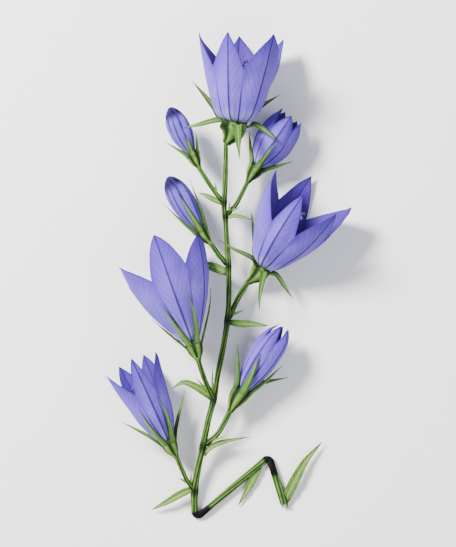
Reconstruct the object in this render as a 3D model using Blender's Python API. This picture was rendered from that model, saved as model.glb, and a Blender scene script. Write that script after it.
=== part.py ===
# Campanula flower stem: a cut raceme with open bells and buds, lying on a surface.
# Sizes are in millimetres: X to the right, Y along the stem to its top, Z up from the surface.
import math

import bpy
import bmesh
from mathutils import Vector

millimetre = 0.001
origin = Vector((0.33, -0.3, 0.0))    # middle of the outline, on the surface

gap = 0.3               # between pieces that touch
stalkGap = 0.42         # between a stalk and the ovary that it meets at an angle
blade = 0.6             # thickness of petals, sepals and leaves
sharpAngle = 40         # edges sharper than this stay creased

bellRows = (0.0, 0.05, 0.14, 0.28, 0.44, 0.62, 0.81, 1.0)
columnsPerLobe = 6
lobePower = 1.35        # 1 gives straight-sided lobes, 2 gives round ones; a bloom may have its own
flute = 0.035           # how far the five midribs stand out of the bell
budSides = 10
budRows = 8
budTwist = 20           # degrees from the bud's base to its tip
budPleat = 0.07

sepalWidth = 0.95       # per radius of the ovary's rim
sepalTipWidth = 0.5
sepalSteps = 6
sepalTurn = 0.7         # how far a spread sepal's face has turned up or down at its tip
sepalClear = gap + 0.65 * blade     # from the bell's outline to the middle of a sepal beside it
ovarySides = 10
ovaryRidges = 0.06
ovaryShares = (0.95, 1.04, 1.0, 0.9, 0.72, 0.5, 0.36)     # its radius from the rim to the stalk

styleReach = 0.62       # share of the bell's length
styleRadii = (0.5, 0.42, 0.42, 0.5, 0.6)
stigmaArm = ((-0.9, 0.0), (0.6, 0.6), (1.7, 1.5), (2.0, 2.6))     # distance past the style's end, radius
stigmaRadii = (0.35, 0.38, 0.36, 0.3)
discSides = 15
discBase = 1.6
discHeight = 0.6
discHole = 0.8
stamenRadii = (0.34, 0.34, 0.38, 0.3)

stemSides = 8
stalkSides = 6

# The stem's centre line from its top to the foot, with its radius
stemLine = (
    ((-0.33, 32.6, 9.6), 0.55), ((-0.5, 24.1, 8.4), 0.6), ((-0.8, 17.7, 7.3), 0.62),
    ((-0.5, 14.5, 6.8), 0.65), ((-0.2, 9.7, 6.2), 0.62), ((0.3, 2.4, 5.8), 0.65),
    ((0.4, -4.0, 5.7), 0.65), ((0.1, -10.4, 5.9), 0.7), ((-0.8, -16.7, 6.0), 0.65),
    ((-2.4, -24.8, 6.0), 0.68), ((-3.2, -30.2, 5.8), 0.72), ((-4.7, -35.9, 5.2), 0.7),
    ((-6.0, -42.3, 4.3), 0.78), ((-7.4, -48.7, 3.1), 0.78), ((-8.2, -53.5, 2.0), 0.85),
    ((-8.3, -56.5, 1.3), 0.8))
# The foot is folded to and fro: its corners are rounded to the fold's radius
footCorners = ((-8.2, -57.0, 1.2), (-8.15, -61.3, 0.85), (10.5, -45.6, 0.85), (14.6, -58.3, 1.0))
foldRadius = 0.95
footRadius = 0.78
footEndRadius = 0.92

# Each bloom has its corolla's base point, the direction it points (degrees from +X), its tilt up from
# the surface and its outline as (distance from the base, radius). A bloom with rest lies on the surface
# with its lowest lobe, any other has the height of its base. Azimuths go round the axis in degrees from the
# side that faces up, to the right as seen from above. Lobes and notches are (azimuth, distance), each lobe
# with the notch after it. A sepal is (azimuth of its root, azimuth of its tip, angle from the axis, length),
# where the angle 0 lies along the bell. An ovary with a shift has its top that far to the left of the axis.
# A bracteole is (share of the stalk's length, its tip).
blooms = {
    "top_flower": dict(
        base=(2.35, 38.2), heading=85.4, tilt=3, rest=True,
        bell=((0, 2.2), (0.9, 4.1), (4.5, 6.3), (9.0, 7.7), (13.6, 9.0), (18.0, 10.0), (21.8, 10.9)),
        lobes=((-20.5, 22.1), (40, 22.4), (118, 21.2), (186, 21.2), (270, 21.3)),
        notches=((4, 13.5), (85, 13.5), (155, 15.0), (209, 14.0), (310, 13.6)), lobePower=1.12,
        ovary=(-0.33, 32.9), ovaryRadius=3.0, ovaryShift=0.9,
        sepals=((2, 11, 162, 10.6), (84, 72, 122, 9.1), (160, 110, 41, 10.7), (234, 256, 41, 12.8),
                (304, 284, 109, 11.5))),
    "upper_left_bud": dict(
        base=(-8.9, 30.6), height=8.2, heading=115.7, tilt=2, roll=-28,
        bud=((0, 1.0), (1.2, 1.5), (3.0, 2.15), (5.5, 2.7), (8.0, 2.7), (10.4, 2.1), (11.8, 1.3),
             (12.4, 0.7)),
        ovary=(-6.9, 26.65), ovaryRadius=1.5, stalk=((-0.85, 18.2), (-3.38, 21.2)), stalkRadius=0.55,
        bracteoles=((0.25, (-3.0, 23.3)),),
        sepals=((8, 12, 0, 6.1), (80, 82, 18, 5.7), (152, 150, 0, 5.5), (224, 215, 0, 5.5),
                (296, 274, 30, 6.9))),
    "upper_right_flower": dict(
        base=(7.68, 27.6), height=5.1, heading=55.9, tilt=2,
        bell=((0, 1.3), (0.9, 2.2), (4.0, 4.0), (7.5, 4.8), (11.5, 4.4), (15.0, 3.0)),
        lobes=((0, 14.7), (72, 14.5), (144, 14.4), (216, 14.6), (288, 15.0)),
        notches=((36, 12.0), (108, 11.5), (180, 11.5), (252, 11.5), (324, 11.0)), lobePower=2.0,
        ovary=(5.08, 23.45), ovaryRadius=1.9, stalk=((-0.4, 14.8), (0.8, 16.25), (2.35, 18.15)),
        stalkRadius=0.55, bracteoles=((0.12, (0.6, 18.7)), (0.16, (3.2, 17.1))),
        sepals=((5, 4, 0, 9.9), (77, 84, 38, 7.8), (149, 150, 0, 8.0), (221, 215, 0, 8.0),
                (293, 274, 37, 7.8))),
    "left_bud": dict(
        base=(-6.9, 11.65), height=7.3, heading=121.3, tilt=0, roll=-36,
        bud=((0, 1.0), (1.2, 1.6), (5.0, 2.6), (8.5, 2.95), (12.0, 2.6), (14.2, 1.6), (15.0, 0.8)),
        ovary=(-4.03, 7.83), ovaryRadius=1.6, stalk=((0.3, 2.4), (-2.0, 5.0)), stalkRadius=0.6,
        bracteoles=((0.2, (-3.2, 5.2)),),
        sepals=((0, 0, 0, 11.7), (72, 77, 10, 12.7), (144, 145, 0, 9.0), (216, 215, 0, 9.0),
                (288, 278, 14, 10.7))),
    "right_flower": dict(
        base=(9.0, 2.46), heading=56.0, tilt=16, rest=True,
        bell=((0, 1.8), (0.9, 3.3), (5.0, 5.9), (9.5, 8.0), (15.0, 9.4), (19.0, 10.0), (23.0, 10.4)),
        lobes=((-9.5, 23.5), (47, 23.1), (109, 24.0), (194, 23.2), (270, 22.2)),
        notches=((15.5, 13.3), (77, 13.4), (164, 13.7), (220, 14.5), (330, 13.0)), lobePower=1.2,
        ovary=(5.18, -1.7), ovaryRadius=2.2, stalk=((0.2, -11.2), (1.5, -8.1), (3.18, -4.85)),
        stalkRadius=0.65, bracteoles=((0.12, (4.6, -8.5)),),
        sepals=((14, 36, 149, 11.3), (84, 90, 114, 9.4), (162, 125, 0, 8.0), (238, 256, 38, 12.5),
                (306, 290, 93, 11.7))),
    "left_flower": dict(
        base=(-8.55, -16.7), heading=108.8, tilt=-9, rest=True,
        bell=((0, 1.3), (0.9, 2.2), (4.0, 4.1), (8.4, 6.65), (12.2, 8.4), (16.2, 9.6), (20.3, 10.5),
              (25.7, 11.3)),
        lobes=((-2, 26.6), (57, 24.1), (130, 24.0), (183, 23.8), (270, 23.7)),
        notches=((28, 18.0), (96, 16.5), (158, 16.5), (207, 16.2), (331, 16.5)), lobePower=1.5,
        ovary=(-7.08, -21.3), ovaryRadius=1.9, stalk=((-3.2, -31.4), (-4.2, -29.2), (-5.58, -26.1)),
        stalkRadius=0.6, bracteoles=((0.16, (-8.2, -25.2)), (0.12, (-3.7, -23.1))),
        sepals=((33, 19, 0, 14.7), (100, 76, 0, 14.7), (185, 185, 0, 9.0), (257, 260, 0, 12.5),
                (329, 330, 0, 14.4))),
    "lower_right_bud": dict(
        base=(3.85, -28.5), height=5.6, heading=56.3, tilt=3,
        bell=((0, 1.2), (1.0, 1.9), (4.0, 2.9), (8.5, 3.7), (13.0, 3.75), (16.6, 2.8), (18.6, 1.5)),
        lobes=((-26, 18.5), (46, 18.6), (118, 18.4), (190, 18.4), (262, 18.3)),
        notches=((10, 14.5), (82, 14.3), (154, 14.3), (226, 14.3), (298, 14.3)), lobePower=2.2,
        ovary=(0.65, -34.1), ovaryRadius=2.2, stalk=((-6.0, -42.8), (-2.68, -39.9), (-0.83, -37.0)),
        stalkRadius=0.65, bracteoles=((0.12, (-0.7, -40.2)),),
        sepals=((10, 339, 0, 11.3), (82, 80, 13, 11.6), (154, 107, 36, 11.2), (226, 226, 0, 9.0),
                (298, 274, 31, 10.9))),
    "lower_left_flower": dict(
        base=(-14.88, -41.35), heading=115.1, tilt=0, rest=True,
        bell=((0, 1.3), (0.9, 2.0), (6.0, 4.2), (11.0, 5.2), (16.0, 6.1), (22.0, 7.0)),
        lobes=((5, 22.3), (70, 21.1), (150, 21.7), (208, 21.6), (270, 21.0)),
        notches=((27, 13.9), (112, 14.0), (180, 15.5), (240, 14.0), (336, 14.0)),
        ovary=(-12.65, -45.5), ovaryRadius=1.8, stalk=((-8.2, -54.0), (-10.1, -51.5), (-11.35, -48.8)),
        stalkRadius=0.55, bracteoles=((0.22, (-12.3, -50.7)), (0.15, (-9.1, -49.6))),
        sepals=((36, 28, 0, 13.2), (108, 92, 38, 12.5), (180, 180, 0, 9.0), (252, 266, 36, 12.0),
                (324, 328, 0, 12.3))),
}
openBlooms = ("top_flower", "right_flower", "left_flower", "lower_left_flower")

# Bracts: the centre line from inside the stem to the tip, as places and rises above the stem, and the width
bracts = {
    "upper_left_bract": (((-0.8, 17.9, 0), (-3.4, 19.05, 0.3), (-5.4, 20.1, 0.3), (-7.2, 20.7, 0)), 1.4),
    "upper_right_bract": (((-0.5, 14.4, 0), (1.7, 15.0, 0.5), (4.0, 14.6, 0.6), (6.4, 13.9, 0.4)), 1.0),
    "left_bract": (((0.3, 0.6, 0), (-2.3, 1.7, -0.3), (-4.8, 2.6, -1.3), (-7.0, 3.0, -2.3)), 2.3),
    "right_bract": (((0.1, -11.6, 0), (3.2, -12.0, 0.3), (6.5, -12.1, 0.3), (10.3, -12.6, -0.4)), 1.8),
    "left_flower_bract": (((-3.2, -31.2, 0), (-5.6, -29.3, 0.9), (-8.0, -27.7, 1.5), (-11.0, -26.7, 1.6),
                           (-13.7, -28.2, 0.8)), 1.9),
    "lower_right_bract": (((-5.9, -45.1, 0.4), (-4.6, -43.4, 0.5), (-2.4, -42.1, 0.5), (0.6, -41.3, 0.5),
                           (5.6, -40.5, 0.2)), 1.4),
    "lower_left_bract": (((-8.2, -53.3, 0), (-11.6, -54.8, 0.4), (-15.2, -56.9, 0), (-19.0, -58.9, -1.0)),
                         1.9),
}
# The two leaves of the folded foot, as places and heights
footLeaves = {
    "foot_leaf": (((8.1, -47.6, 0.9), (6.9, -49.8, 0.9), (5.4, -53.2, 0.7), (2.75, -57.9, 0.5)), 2.3),
    "end_leaf": (((14.3, -57.2, 0.9), (15.6, -54.2, 1.3), (17.5, -50.4, 1.7), (20.0, -46.2, 1.5),
                  (23.9, -41.8, 1.0)), 2.5),
}
bracteoleRadii = (0.42, 0.34, 0.14)
bracteoleRise = 0.25    # height gained per length
bractTipWidth = 0.5
leafFold = 0.16         # depth of the channel along a leaf, per width

colours = {
    "green": ((0.16, 0.27, 0.08), 0.6),
    "lilac": ((0.47, 0.42, 0.78), 0.5),
    "pale": ((0.78, 0.74, 0.86), 0.5),
    "cream": ((0.80, 0.72, 0.45), 0.6),
}


def clearScene():
    for thing in list(bpy.data.objects):
        bpy.data.objects.remove(thing, do_unlink=True)


def material(name):
    found = bpy.data.materials.get(name)
    if found:
        return found
    colour, roughness = colours[name]
    made = bpy.data.materials.new(name)
    made.use_nodes = True
    shader = made.node_tree.nodes["Principled BSDF"]
    shader.inputs["Base Color"].default_value = (*colour, 1.0)
    shader.inputs["Roughness"].default_value = roughness
    shader.inputs["Metallic"].default_value = 0.0
    return made


# A smooth value at x through the given (x, value) points
def smoothValue(points, x):
    if x <= points[0][0]:
        return points[0][1]
    if x >= points[-1][0]:
        return points[-1][1]
    slopes = [(b[1] - a[1]) / (b[0] - a[0]) for a, b in zip(points, points[1:])]
    inner = [(a + b) / 2 if a * b > 0 else 0.0 for a, b in zip(slopes, slopes[1:])]
    tangents = [slopes[0]] + inner + [slopes[-1]]
    for i, (a, b) in enumerate(zip(points, points[1:])):
        if x <= b[0]:
            h = b[0] - a[0]
            t = (x - a[0]) / h
            return (a[1] * (1 + 2 * t) * (1 - t) ** 2 + b[1] * t * t * (3 - 2 * t)
                    + h * tangents[i] * t * (1 - t) ** 2 - h * tangents[i + 1] * t * t * (1 - t))


# A smooth line through the points, with the given number of steps between two of them
def smoothLine(points, steps):
    points = [Vector(p) for p in points]
    padded = [2 * points[0] - points[1]] + points + [2 * points[-1] - points[-2]]
    line = []
    for a, b, c, d in zip(padded, padded[1:], padded[2:], padded[3:]):
        for k in range(steps):
            t = k / steps
            line.append(0.5 * (2 * b + (c - a) * t + (2 * a - 5 * b + 4 * c - d) * t * t
                               + (3 * b - a - 3 * c + d) * t ** 3))
    return line + [points[-1]]


# The corners of a broken line rounded to arcs
def roundedLine(corners, radius, steps):
    corners = [Vector(c) for c in corners]
    line = [corners[0]]
    for a, b, c in zip(corners, corners[1:], corners[2:]):
        back = (a - b).normalized()
        on = (c - b).normalized()
        half = back.angle(on) / 2
        centre = b + (back + on).normalized() * radius / math.sin(half)
        start = b + back * radius / math.tan(half)
        side = (start - centre).normalized()
        turn = math.pi - 2 * half
        for k in range(steps + 1):
            angle = turn * k / steps
            line.append(centre + radius * (side * math.cos(angle) - back * math.sin(angle)))
    return line + [corners[-1]]


def tangents(line):
    ends = [line[1] - line[0]] + [b - a for a, b in zip(line, line[2:])] + [line[-1] - line[-2]]
    return [e.normalized() for e in ends]


# Two triangles for each face between neighbouring rings of the same size
def bridge(first, second, size, closed=True):
    faces = []
    for i in range(size if closed else size - 1):
        j = (i + 1) % size
        faces.append((first + i, first + j, second + j))
        faces.append((first + i, second + j, second + i))
    return faces


# A tube along a line with its own radius at each point; ridges makes every second side stand out
def tube(line, radii, sides, ridges=0.0):
    directions = tangents(line)
    normal = directions[0].orthogonal().normalized()
    points = []
    faces = []
    for i, (centre, direction, radius) in enumerate(zip(line, directions, radii)):
        if i:
            normal = directions[i - 1].rotation_difference(direction) @ normal
        normal = (normal - direction * normal.dot(direction)).normalized()
        across = direction.cross(normal)
        for k in range(sides):
            angle = 2 * math.pi * k / sides
            reach = radius * (1 + ridges * (1 if k % 2 else -1))
            points.append(centre + reach * (normal * math.cos(angle) + across * math.sin(angle)))
        if i:
            faces += bridge((i - 1) * sides, i * sides, sides)
    last = (len(line) - 1) * sides
    faces.append(tuple(reversed(range(sides))))
    faces.append(tuple(range(last, last + sides)))
    return points, faces


# A flat blade along a line. The section has three points across and two through; fold sinks its middle
def leafBlade(line, widths, ups, fold):
    points = []
    faces = []
    directions = tangents(line)
    for i, (centre, direction, width, up) in enumerate(zip(line, directions, widths, ups)):
        side = direction.cross(up).normalized()
        top = side.cross(direction).normalized()
        for level in (blade / 2, -blade / 2):
            for across in (-1, 0, 1):
                sink = fold * width * (abs(across) - 0.5)
                points.append(centre + side * across * width / 2 + top * (level + sink))
        if i:
            first = (i - 1) * 6
            second = i * 6
            for a, b in ((0, 1), (1, 2), (2, 5), (5, 4), (4, 3), (3, 0)):
                mirrored = (a, b) in ((5, 4), (4, 3))
                if mirrored:
                    faces.append((first + a, second + a, first + b))
                    faces.append((first + b, second + a, second + b))
                else:
                    faces.append((first + a, second + b, first + b))
                    faces.append((first + a, second + a, second + b))
    last = (len(line) - 1) * 6
    faces += [(0, 1, 4, 3), (1, 2, 5, 4)]
    faces += [(last + 3, last + 4, last + 1, last), (last + 4, last + 5, last + 2, last + 1)]
    return points, faces


def makeMesh(name, points, faces):
    mesh = bpy.data.meshes.new(name)
    mesh.from_pydata([(p - origin) * millimetre for p in points], [], faces)
    shape = bmesh.new()
    shape.from_mesh(mesh)
    bmesh.ops.recalc_face_normals(shape, faces=shape.faces)
    bmesh.ops.triangulate(shape, faces=[f for f in shape.faces if len(f.verts) > 3])
    shape.to_mesh(mesh)
    shape.free()
    return mesh


def makeObject(name, shape, colour):
    thing = bpy.data.objects.new(name, makeMesh(name, *shape))
    bpy.context.scene.collection.objects.link(thing)
    thing.data.materials.append(material(colour))
    thing.data.shade_smooth()
    thing.data.set_sharp_from_angle(angle=math.radians(sharpAngle))
    return thing


# One solid from several that reach into each other
def fuse(name, shapes, colour):
    body = makeObject(name, shapes[0], colour)
    if len(shapes) == 1:
        return body
    others = bpy.data.collections.new(name + "_parts")
    bpy.context.scene.collection.children.link(others)
    for number, shape in enumerate(shapes[1:]):
        other = bpy.data.objects.new(f"{name}_part_{number}", makeMesh(name, *shape))
        others.objects.link(other)
    joined = body.modifiers.new("Joined", "BOOLEAN")
    joined.operation = "UNION"
    joined.operand_type = "COLLECTION"
    joined.collection = others
    joined.solver = "EXACT"
    evaluated = body.evaluated_get(bpy.context.evaluated_depsgraph_get())
    whole = bpy.data.meshes.new_from_object(evaluated)
    body.modifiers.clear()
    body.data = whole
    for other in list(others.objects):
        bpy.data.objects.remove(other, do_unlink=True)
    bpy.data.collections.remove(others)
    whole.materials.clear()
    whole.materials.append(material(colour))
    whole.shade_smooth()
    whole.set_sharp_from_angle(angle=math.radians(sharpAngle))
    return body


# The frame of a bloom: its axis, its upper side and its right side as seen from above
class Axes:
    def __init__(self, bloom):
        heading = math.radians(bloom["heading"])
        tilt = math.radians(bloom["tilt"])
        flat = Vector((math.cos(heading), math.sin(heading), 0))
        high = Vector((0, 0, 1))
        self.along = flat * math.cos(tilt) + high * math.sin(tilt)
        self.up = high * math.cos(tilt) - flat * math.sin(tilt)
        self.right = self.along.cross(self.up)
        self.base = Vector((*bloom["base"], bloom.get("height", 0.0)))
        if bloom.get("rest"):
            reach = [self.place(s, r, a).z for s, r, a in bellEdge(bloom)]
            self.base.z = -min(reach)

    def place(self, distance, radius, azimuth):
        return self.base + self.along * distance + self.outward(azimuth) * radius

    def outward(self, azimuth):
        angle = math.radians(azimuth)
        return self.up * math.cos(angle) + self.right * math.sin(angle)


# The bell's columns: azimuth, how far each reaches along the axis, and how much of a rib it is
def bellColumns(bloom):
    columns = []
    power = bloom.get("lobePower", lobePower)
    half = columnsPerLobe // 2
    count = len(bloom["lobes"])
    for k in range(count):
        tip, reach = bloom["lobes"][k]
        notch, depth = bloom["notches"][k]
        nextTip, nextReach = bloom["lobes"][(k + 1) % count]
        up = (notch - tip) % 360
        down = (nextTip - notch) % 360
        for i in range(half):
            share = i / half
            edge = reach - (reach - depth) * share ** power
            columns.append((tip + up * share, edge, math.cos(math.pi * share)))
        for i in range(half):
            share = 1 - i / half
            edge = nextReach - (nextReach - depth) * share ** power
            columns.append((notch + down * (1 - share), edge, math.cos(math.pi * share)))
    return columns


def bellRadius(bloom, distance, rib):
    return smoothValue(bloom["bell"], distance) * (1 + flute * rib)


def bellEdge(bloom):
    edge = []
    for azimuth, reach, rib in bellColumns(bloom):
        for row in bellRows:
            edge.append((row * reach, bellRadius(bloom, row * reach, rib), azimuth))
    return edge


# The open bell: an outer and an inner skin, joined at the base ring and along the lobes' edge
def bell(bloom, axes):
    columns = bellColumns(bloom)
    count = len(columns)
    step = 0.05
    outer = []
    inner = []
    for row in bellRows:
        for azimuth, reach, rib in columns:
            distance = row * reach
            radius = bellRadius(bloom, distance, rib)
            rise = bellRadius(bloom, distance + step, rib) - bellRadius(bloom, distance - step, rib)
            slope = rise / (2 * step)
            slant = math.sqrt(1 + slope * slope)
            outer.append(axes.place(distance, radius, azimuth))
            inner.append(axes.place(distance + blade * slope / slant, radius - blade / slant, azimuth))
    points = outer + inner
    shift = len(outer)
    faces = []
    for row in range(len(bellRows) - 1):
        faces += bridge(row * count, (row + 1) * count, count)
        faces += [tuple(reversed(f)) for f in bridge(shift + row * count, shift + (row + 1) * count, count)]
    rim = (len(bellRows) - 1) * count
    faces += bridge(rim, shift + rim, count)
    faces += [tuple(reversed(f)) for f in bridge(0, shift, count)]
    return points, faces


# A closed bud: five pleats that run together at the tip
def closedBud(bloom, axes):
    length = bloom["bud"][-1][0]
    points = []
    faces = []
    for row in range(budRows + 1):
        share = row / budRows
        radius = smoothValue(bloom["bud"], length * share)
        pleat = budPleat * math.sin(math.pi * share) + 0.03
        for k in range(budSides):
            azimuth = bloom["roll"] + 360 * k / budSides + budTwist * share ** 2
            points.append(axes.place(length * share, radius * (1 + pleat * (-1 if k % 2 else 1)), azimuth))
        if row:
            faces += bridge((row - 1) * budSides, row * budSides, budSides)
    faces.append(tuple(reversed(range(budSides))))
    faces.append(tuple(range(budRows * budSides, (budRows + 1) * budSides)))
    return points, faces


# The radius that a sepal's middle keeps to beside the bell or bud
def clearRadius(bloom, distance):
    ahead = 0.35
    outline = bloom.get("bell") or bloom["bud"]
    return smoothValue(outline, distance + ahead) * (1 + flute) + sepalClear


# A sepal starts inside the ovary's rim and follows the bell (spread 0) or bends away from it
def sepal(bloom, axes, rootAzimuth, tipAzimuth, spread, length):
    rim = bloom["ovaryRadius"]
    turn = (tipAzimuth - rootAzimuth + 180) % 360 - 180
    lean = math.radians(spread)
    stride = length / sepalSteps
    wide = sepalWidth * rim
    turned = sepalTurn * min(1.0, spread / 30)
    line = [axes.place(-1.1, rim * 0.55, rootAzimuth)]
    ups = [axes.outward(rootAzimuth)]
    widths = [wide * 0.7]
    distance = -0.75
    radius = rim + 0.1
    for k in range(sepalSteps + 1):
        share = k / sepalSteps
        azimuth = rootAzimuth + turn * share ** 1.3
        if k:
            radius = max(radius, clearRadius(bloom, distance))
        line.append(axes.place(distance, radius, azimuth))
        up = axes.outward(azimuth) * math.cos(lean) - axes.along * math.sin(lean)
        ups.append(up.lerp(Vector((0, 0, 1 if up.z >= 0 else -1)), turned * math.sqrt(share)))
        widths.append(max(sepalTipWidth, wide * (1 - share ** 1.2)))
        angle = lean * min(1.0, 0.55 + k / 3)
        ahead = math.cos(angle) * stride
        climb = clearRadius(bloom, distance + ahead) - radius
        if not lean and climb > 0:
            climb = min(climb, stride * 0.8)
            ahead = math.sqrt(stride * stride - climb * climb)
        distance += ahead
        radius += math.sin(angle) * stride
    return flatSpike(line, widths, ups)


# A narrow blade with a plain four-sided section
def flatSpike(line, widths, ups):
    points = []
    faces = []
    for i, (centre, direction, width, up) in enumerate(zip(line, tangents(line), widths, ups)):
        side = direction.cross(up).normalized()
        top = side.cross(direction).normalized()
        for across, level in ((-1, 1), (1, 1), (1, -1), (-1, -1)):
            points.append(centre + side * across * width / 2 + top * level * blade / 2)
        if i:
            faces += bridge((i - 1) * 4, i * 4, 4)
    last = (len(line) - 1) * 4
    faces.append((3, 2, 1, 0))
    faces.append((last, last + 1, last + 2, last + 3))
    return points, faces


def ovaryEnd(bloom, axes):
    top = axes.place(0, 0, 0)
    flat = Vector((*bloom["ovary"], 0)) - Vector((top.x, top.y, 0))
    return Vector((*bloom["ovary"], top.z - math.tan(math.radians(bloom["tilt"])) * flat.length))


def ovary(bloom, axes):
    shift = bloom.get("ovaryShift", 0.0)
    top = axes.place(-gap, shift, 270)
    end = ovaryEnd(bloom, axes)
    middle = axes.place(-0.45 * (top - end).length, shift, 270)
    radii = [bloom["ovaryRadius"] * share for share in ovaryShares]
    return tube(smoothLine((top, middle, end), 3), radii, ovarySides, ovaryRidges)


def makeCalyx(name, bloom, axes):
    shapes = [ovary(bloom, axes)]
    for root, tip, spread, length in bloom["sepals"]:
        shapes.append(sepal(bloom, axes, root, tip, spread, length))
    fuse(name + "_calyx", shapes, "green")


# The style with the three arms of its stigma
def makeStyle(name, bloom, axes):
    top = bloom["lobes"][0][1] * styleReach
    steps = len(styleRadii) - 1
    shapes = [tube([axes.place(top * k / steps, 0, 0) for k in range(steps + 1)], styleRadii, 6)]
    for azimuth in (30, 150, 270):
        arm = [axes.place(top + past, out, azimuth) for past, out in stigmaArm]
        shapes.append(tube(arm, stigmaRadii, 5))
    fuse(name + "_style", shapes, "pale")


# The nectar disc with five stamens that lean in to the style
def makeStamens(name, bloom, axes):
    bellInside = smoothValue(bloom["bell"], discBase) * (1 - flute) - 1.4 * blade
    rim = max(bellInside - gap, discHole + 0.35)
    top = discBase + discHeight
    points = []
    for distance, radius in ((discBase, discHole), (discBase, rim), (top, rim), (top, discHole)):
        points += [axes.place(distance, radius, 360 * k / discSides) for k in range(discSides)]
    faces = []
    for ring in range(4):
        faces += bridge(ring * discSides, (ring + 1) % 4 * discSides, discSides)
    shapes = [(points, faces)]
    middle = (discHole + rim) / 2
    path = ((discBase + discHeight / 2, middle), (discBase + 2.0, middle + 0.25), (discBase + 4.5, 1.2),
            (discBase + 7.5, 1.25))
    for k in range(5):
        line = [axes.place(distance, radius, 36 + 72 * k) for distance, radius in path]
        shapes.append(tube(line, stamenRadii, 4))
    fuse(name + "_stamens", shapes, "cream")


# The stem from below the top flower to the end of its folded foot, which swells towards the cut
def stemPoints(topEnd):
    line = [Vector(p) for p, r in stemLine]
    line[0] = topEnd + (line[1] - topEnd).normalized() * gap
    radii = [r for p, r in stemLine]
    foot = roundedLine(footCorners, foldRadius, 5)[1:]
    for k in range(len(foot)):
        share = max(0.0, k / (len(foot) - 1) * 2 - 1)
        radii.append(footRadius + (footEndRadius - footRadius) * share)
    return line + foot, radii


# The height of the stem's centre line at a place along it
def stemHeight(y):
    line = [p for p, r in stemLine]
    for a, b in zip(line, line[1:]):
        if b[1] <= y <= a[1]:
            return a[2] + (b[2] - a[2]) * (a[1] - y) / (a[1] - b[1])
    return line[-1][2]


# A flower's stalk rises or sinks evenly from the stem to the ovary
def stalkLine(bloom, axes):
    end = ovaryEnd(bloom, axes)
    flat = [Vector((*p, 0)) for p in bloom["stalk"]] + [Vector((end.x, end.y, 0))]
    lengths = [0.0]
    for a, b in zip(flat, flat[1:]):
        lengths.append(lengths[-1] + (b - a).length)
    low = stemHeight(flat[0].y)
    line = []
    for point, length in zip(flat, lengths):
        line.append(Vector((point.x, point.y, low + (end.z - low) * length / lengths[-1])))
    line = smoothLine(line, 2)
    line[-1] = line[-1] + (line[-2] - line[-1]).normalized() * stalkGap
    return line


# The place at a share of a line's length
def along(line, share):
    lengths = [(b - a).length for a, b in zip(line, line[1:])]
    left = sum(lengths) * share
    for a, b, length in zip(line, line[1:], lengths):
        if left <= length:
            return a.lerp(b, left / length)
        left -= length
    return line[-1]


def leafShape(line, width):
    line = smoothLine(line, 3)
    count = len(line) - 1
    widths = []
    for k in range(count + 1):
        share = k / count
        widths.append(max(bractTipWidth, width * math.sin(math.pi * (0.12 + 0.88 * share) ** 0.8) ** 0.8))
    return leafBlade(line, widths, [Vector((0, 0, 1))] * (count + 1), leafFold)


def makeLeafyStem(axes):
    line, radii = stemPoints(ovaryEnd(blooms["top_flower"], axes["top_flower"]))
    shapes = [tube(line, radii, stemSides)]
    for name, bloom in blooms.items():
        if "stalk" not in bloom:
            continue
        line = stalkLine(bloom, axes[name])
        radius = bloom["stalkRadius"]
        shapes.append(tube(line, [radius * 1.15] + [radius] * (len(line) - 1), stalkSides))
        for share, tip in bloom["bracteoles"]:
            root = along(line, share)
            tip = Vector((*tip, root.z))
            tip.z += bracteoleRise * (tip - root).length
            shapes.append(tube([root, (root + tip) / 2, tip], bracteoleRadii, 5))
    for path, width in bracts.values():
        level = stemHeight(path[0][1])
        shapes.append(leafShape([(x, y, level + rise) for x, y, rise in path], width))
    for path, width in footLeaves.values():
        shapes.append(leafShape(path, width))
    fuse("leafy_stem", shapes, "green")


clearScene()
axes = {name: Axes(bloom) for name, bloom in blooms.items()}
makeLeafyStem(axes)
for name, bloom in blooms.items():
    makeCalyx(name, bloom, axes[name])
    shape = bell(bloom, axes[name]) if "bell" in bloom else closedBud(bloom, axes[name])
    makeObject(name + "_corolla", shape, "lilac")
for name in openBlooms:
    makeStyle(name, blooms[name], axes[name])
    makeStamens(name, blooms[name], axes[name])
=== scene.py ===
# A cut stem of bellflowers lying on a pale table, seen from straight above
import math

import bpy
from mathutils import Matrix, Vector


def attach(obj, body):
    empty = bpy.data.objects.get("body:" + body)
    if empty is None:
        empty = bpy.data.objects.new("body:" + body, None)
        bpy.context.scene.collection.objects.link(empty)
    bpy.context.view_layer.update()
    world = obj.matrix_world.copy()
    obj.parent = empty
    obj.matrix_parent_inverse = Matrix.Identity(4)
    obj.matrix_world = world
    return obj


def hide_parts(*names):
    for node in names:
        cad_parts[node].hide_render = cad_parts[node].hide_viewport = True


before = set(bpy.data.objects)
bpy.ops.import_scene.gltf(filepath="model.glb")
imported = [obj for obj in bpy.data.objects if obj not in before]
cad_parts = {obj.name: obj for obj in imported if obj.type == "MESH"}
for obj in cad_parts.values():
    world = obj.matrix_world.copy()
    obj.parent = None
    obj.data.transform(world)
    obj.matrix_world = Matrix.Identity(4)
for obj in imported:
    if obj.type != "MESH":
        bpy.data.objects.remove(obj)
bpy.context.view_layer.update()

# Guides and trees work in millimetres: X to the right, Y along the stem to its top, Z up from the table
millimetre = 0.001
middle = Vector((0.33, -0.3, 0.0))     # the point that lies at the scene's origin
high = Vector((0.0, 0.0, 1.0))


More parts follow.
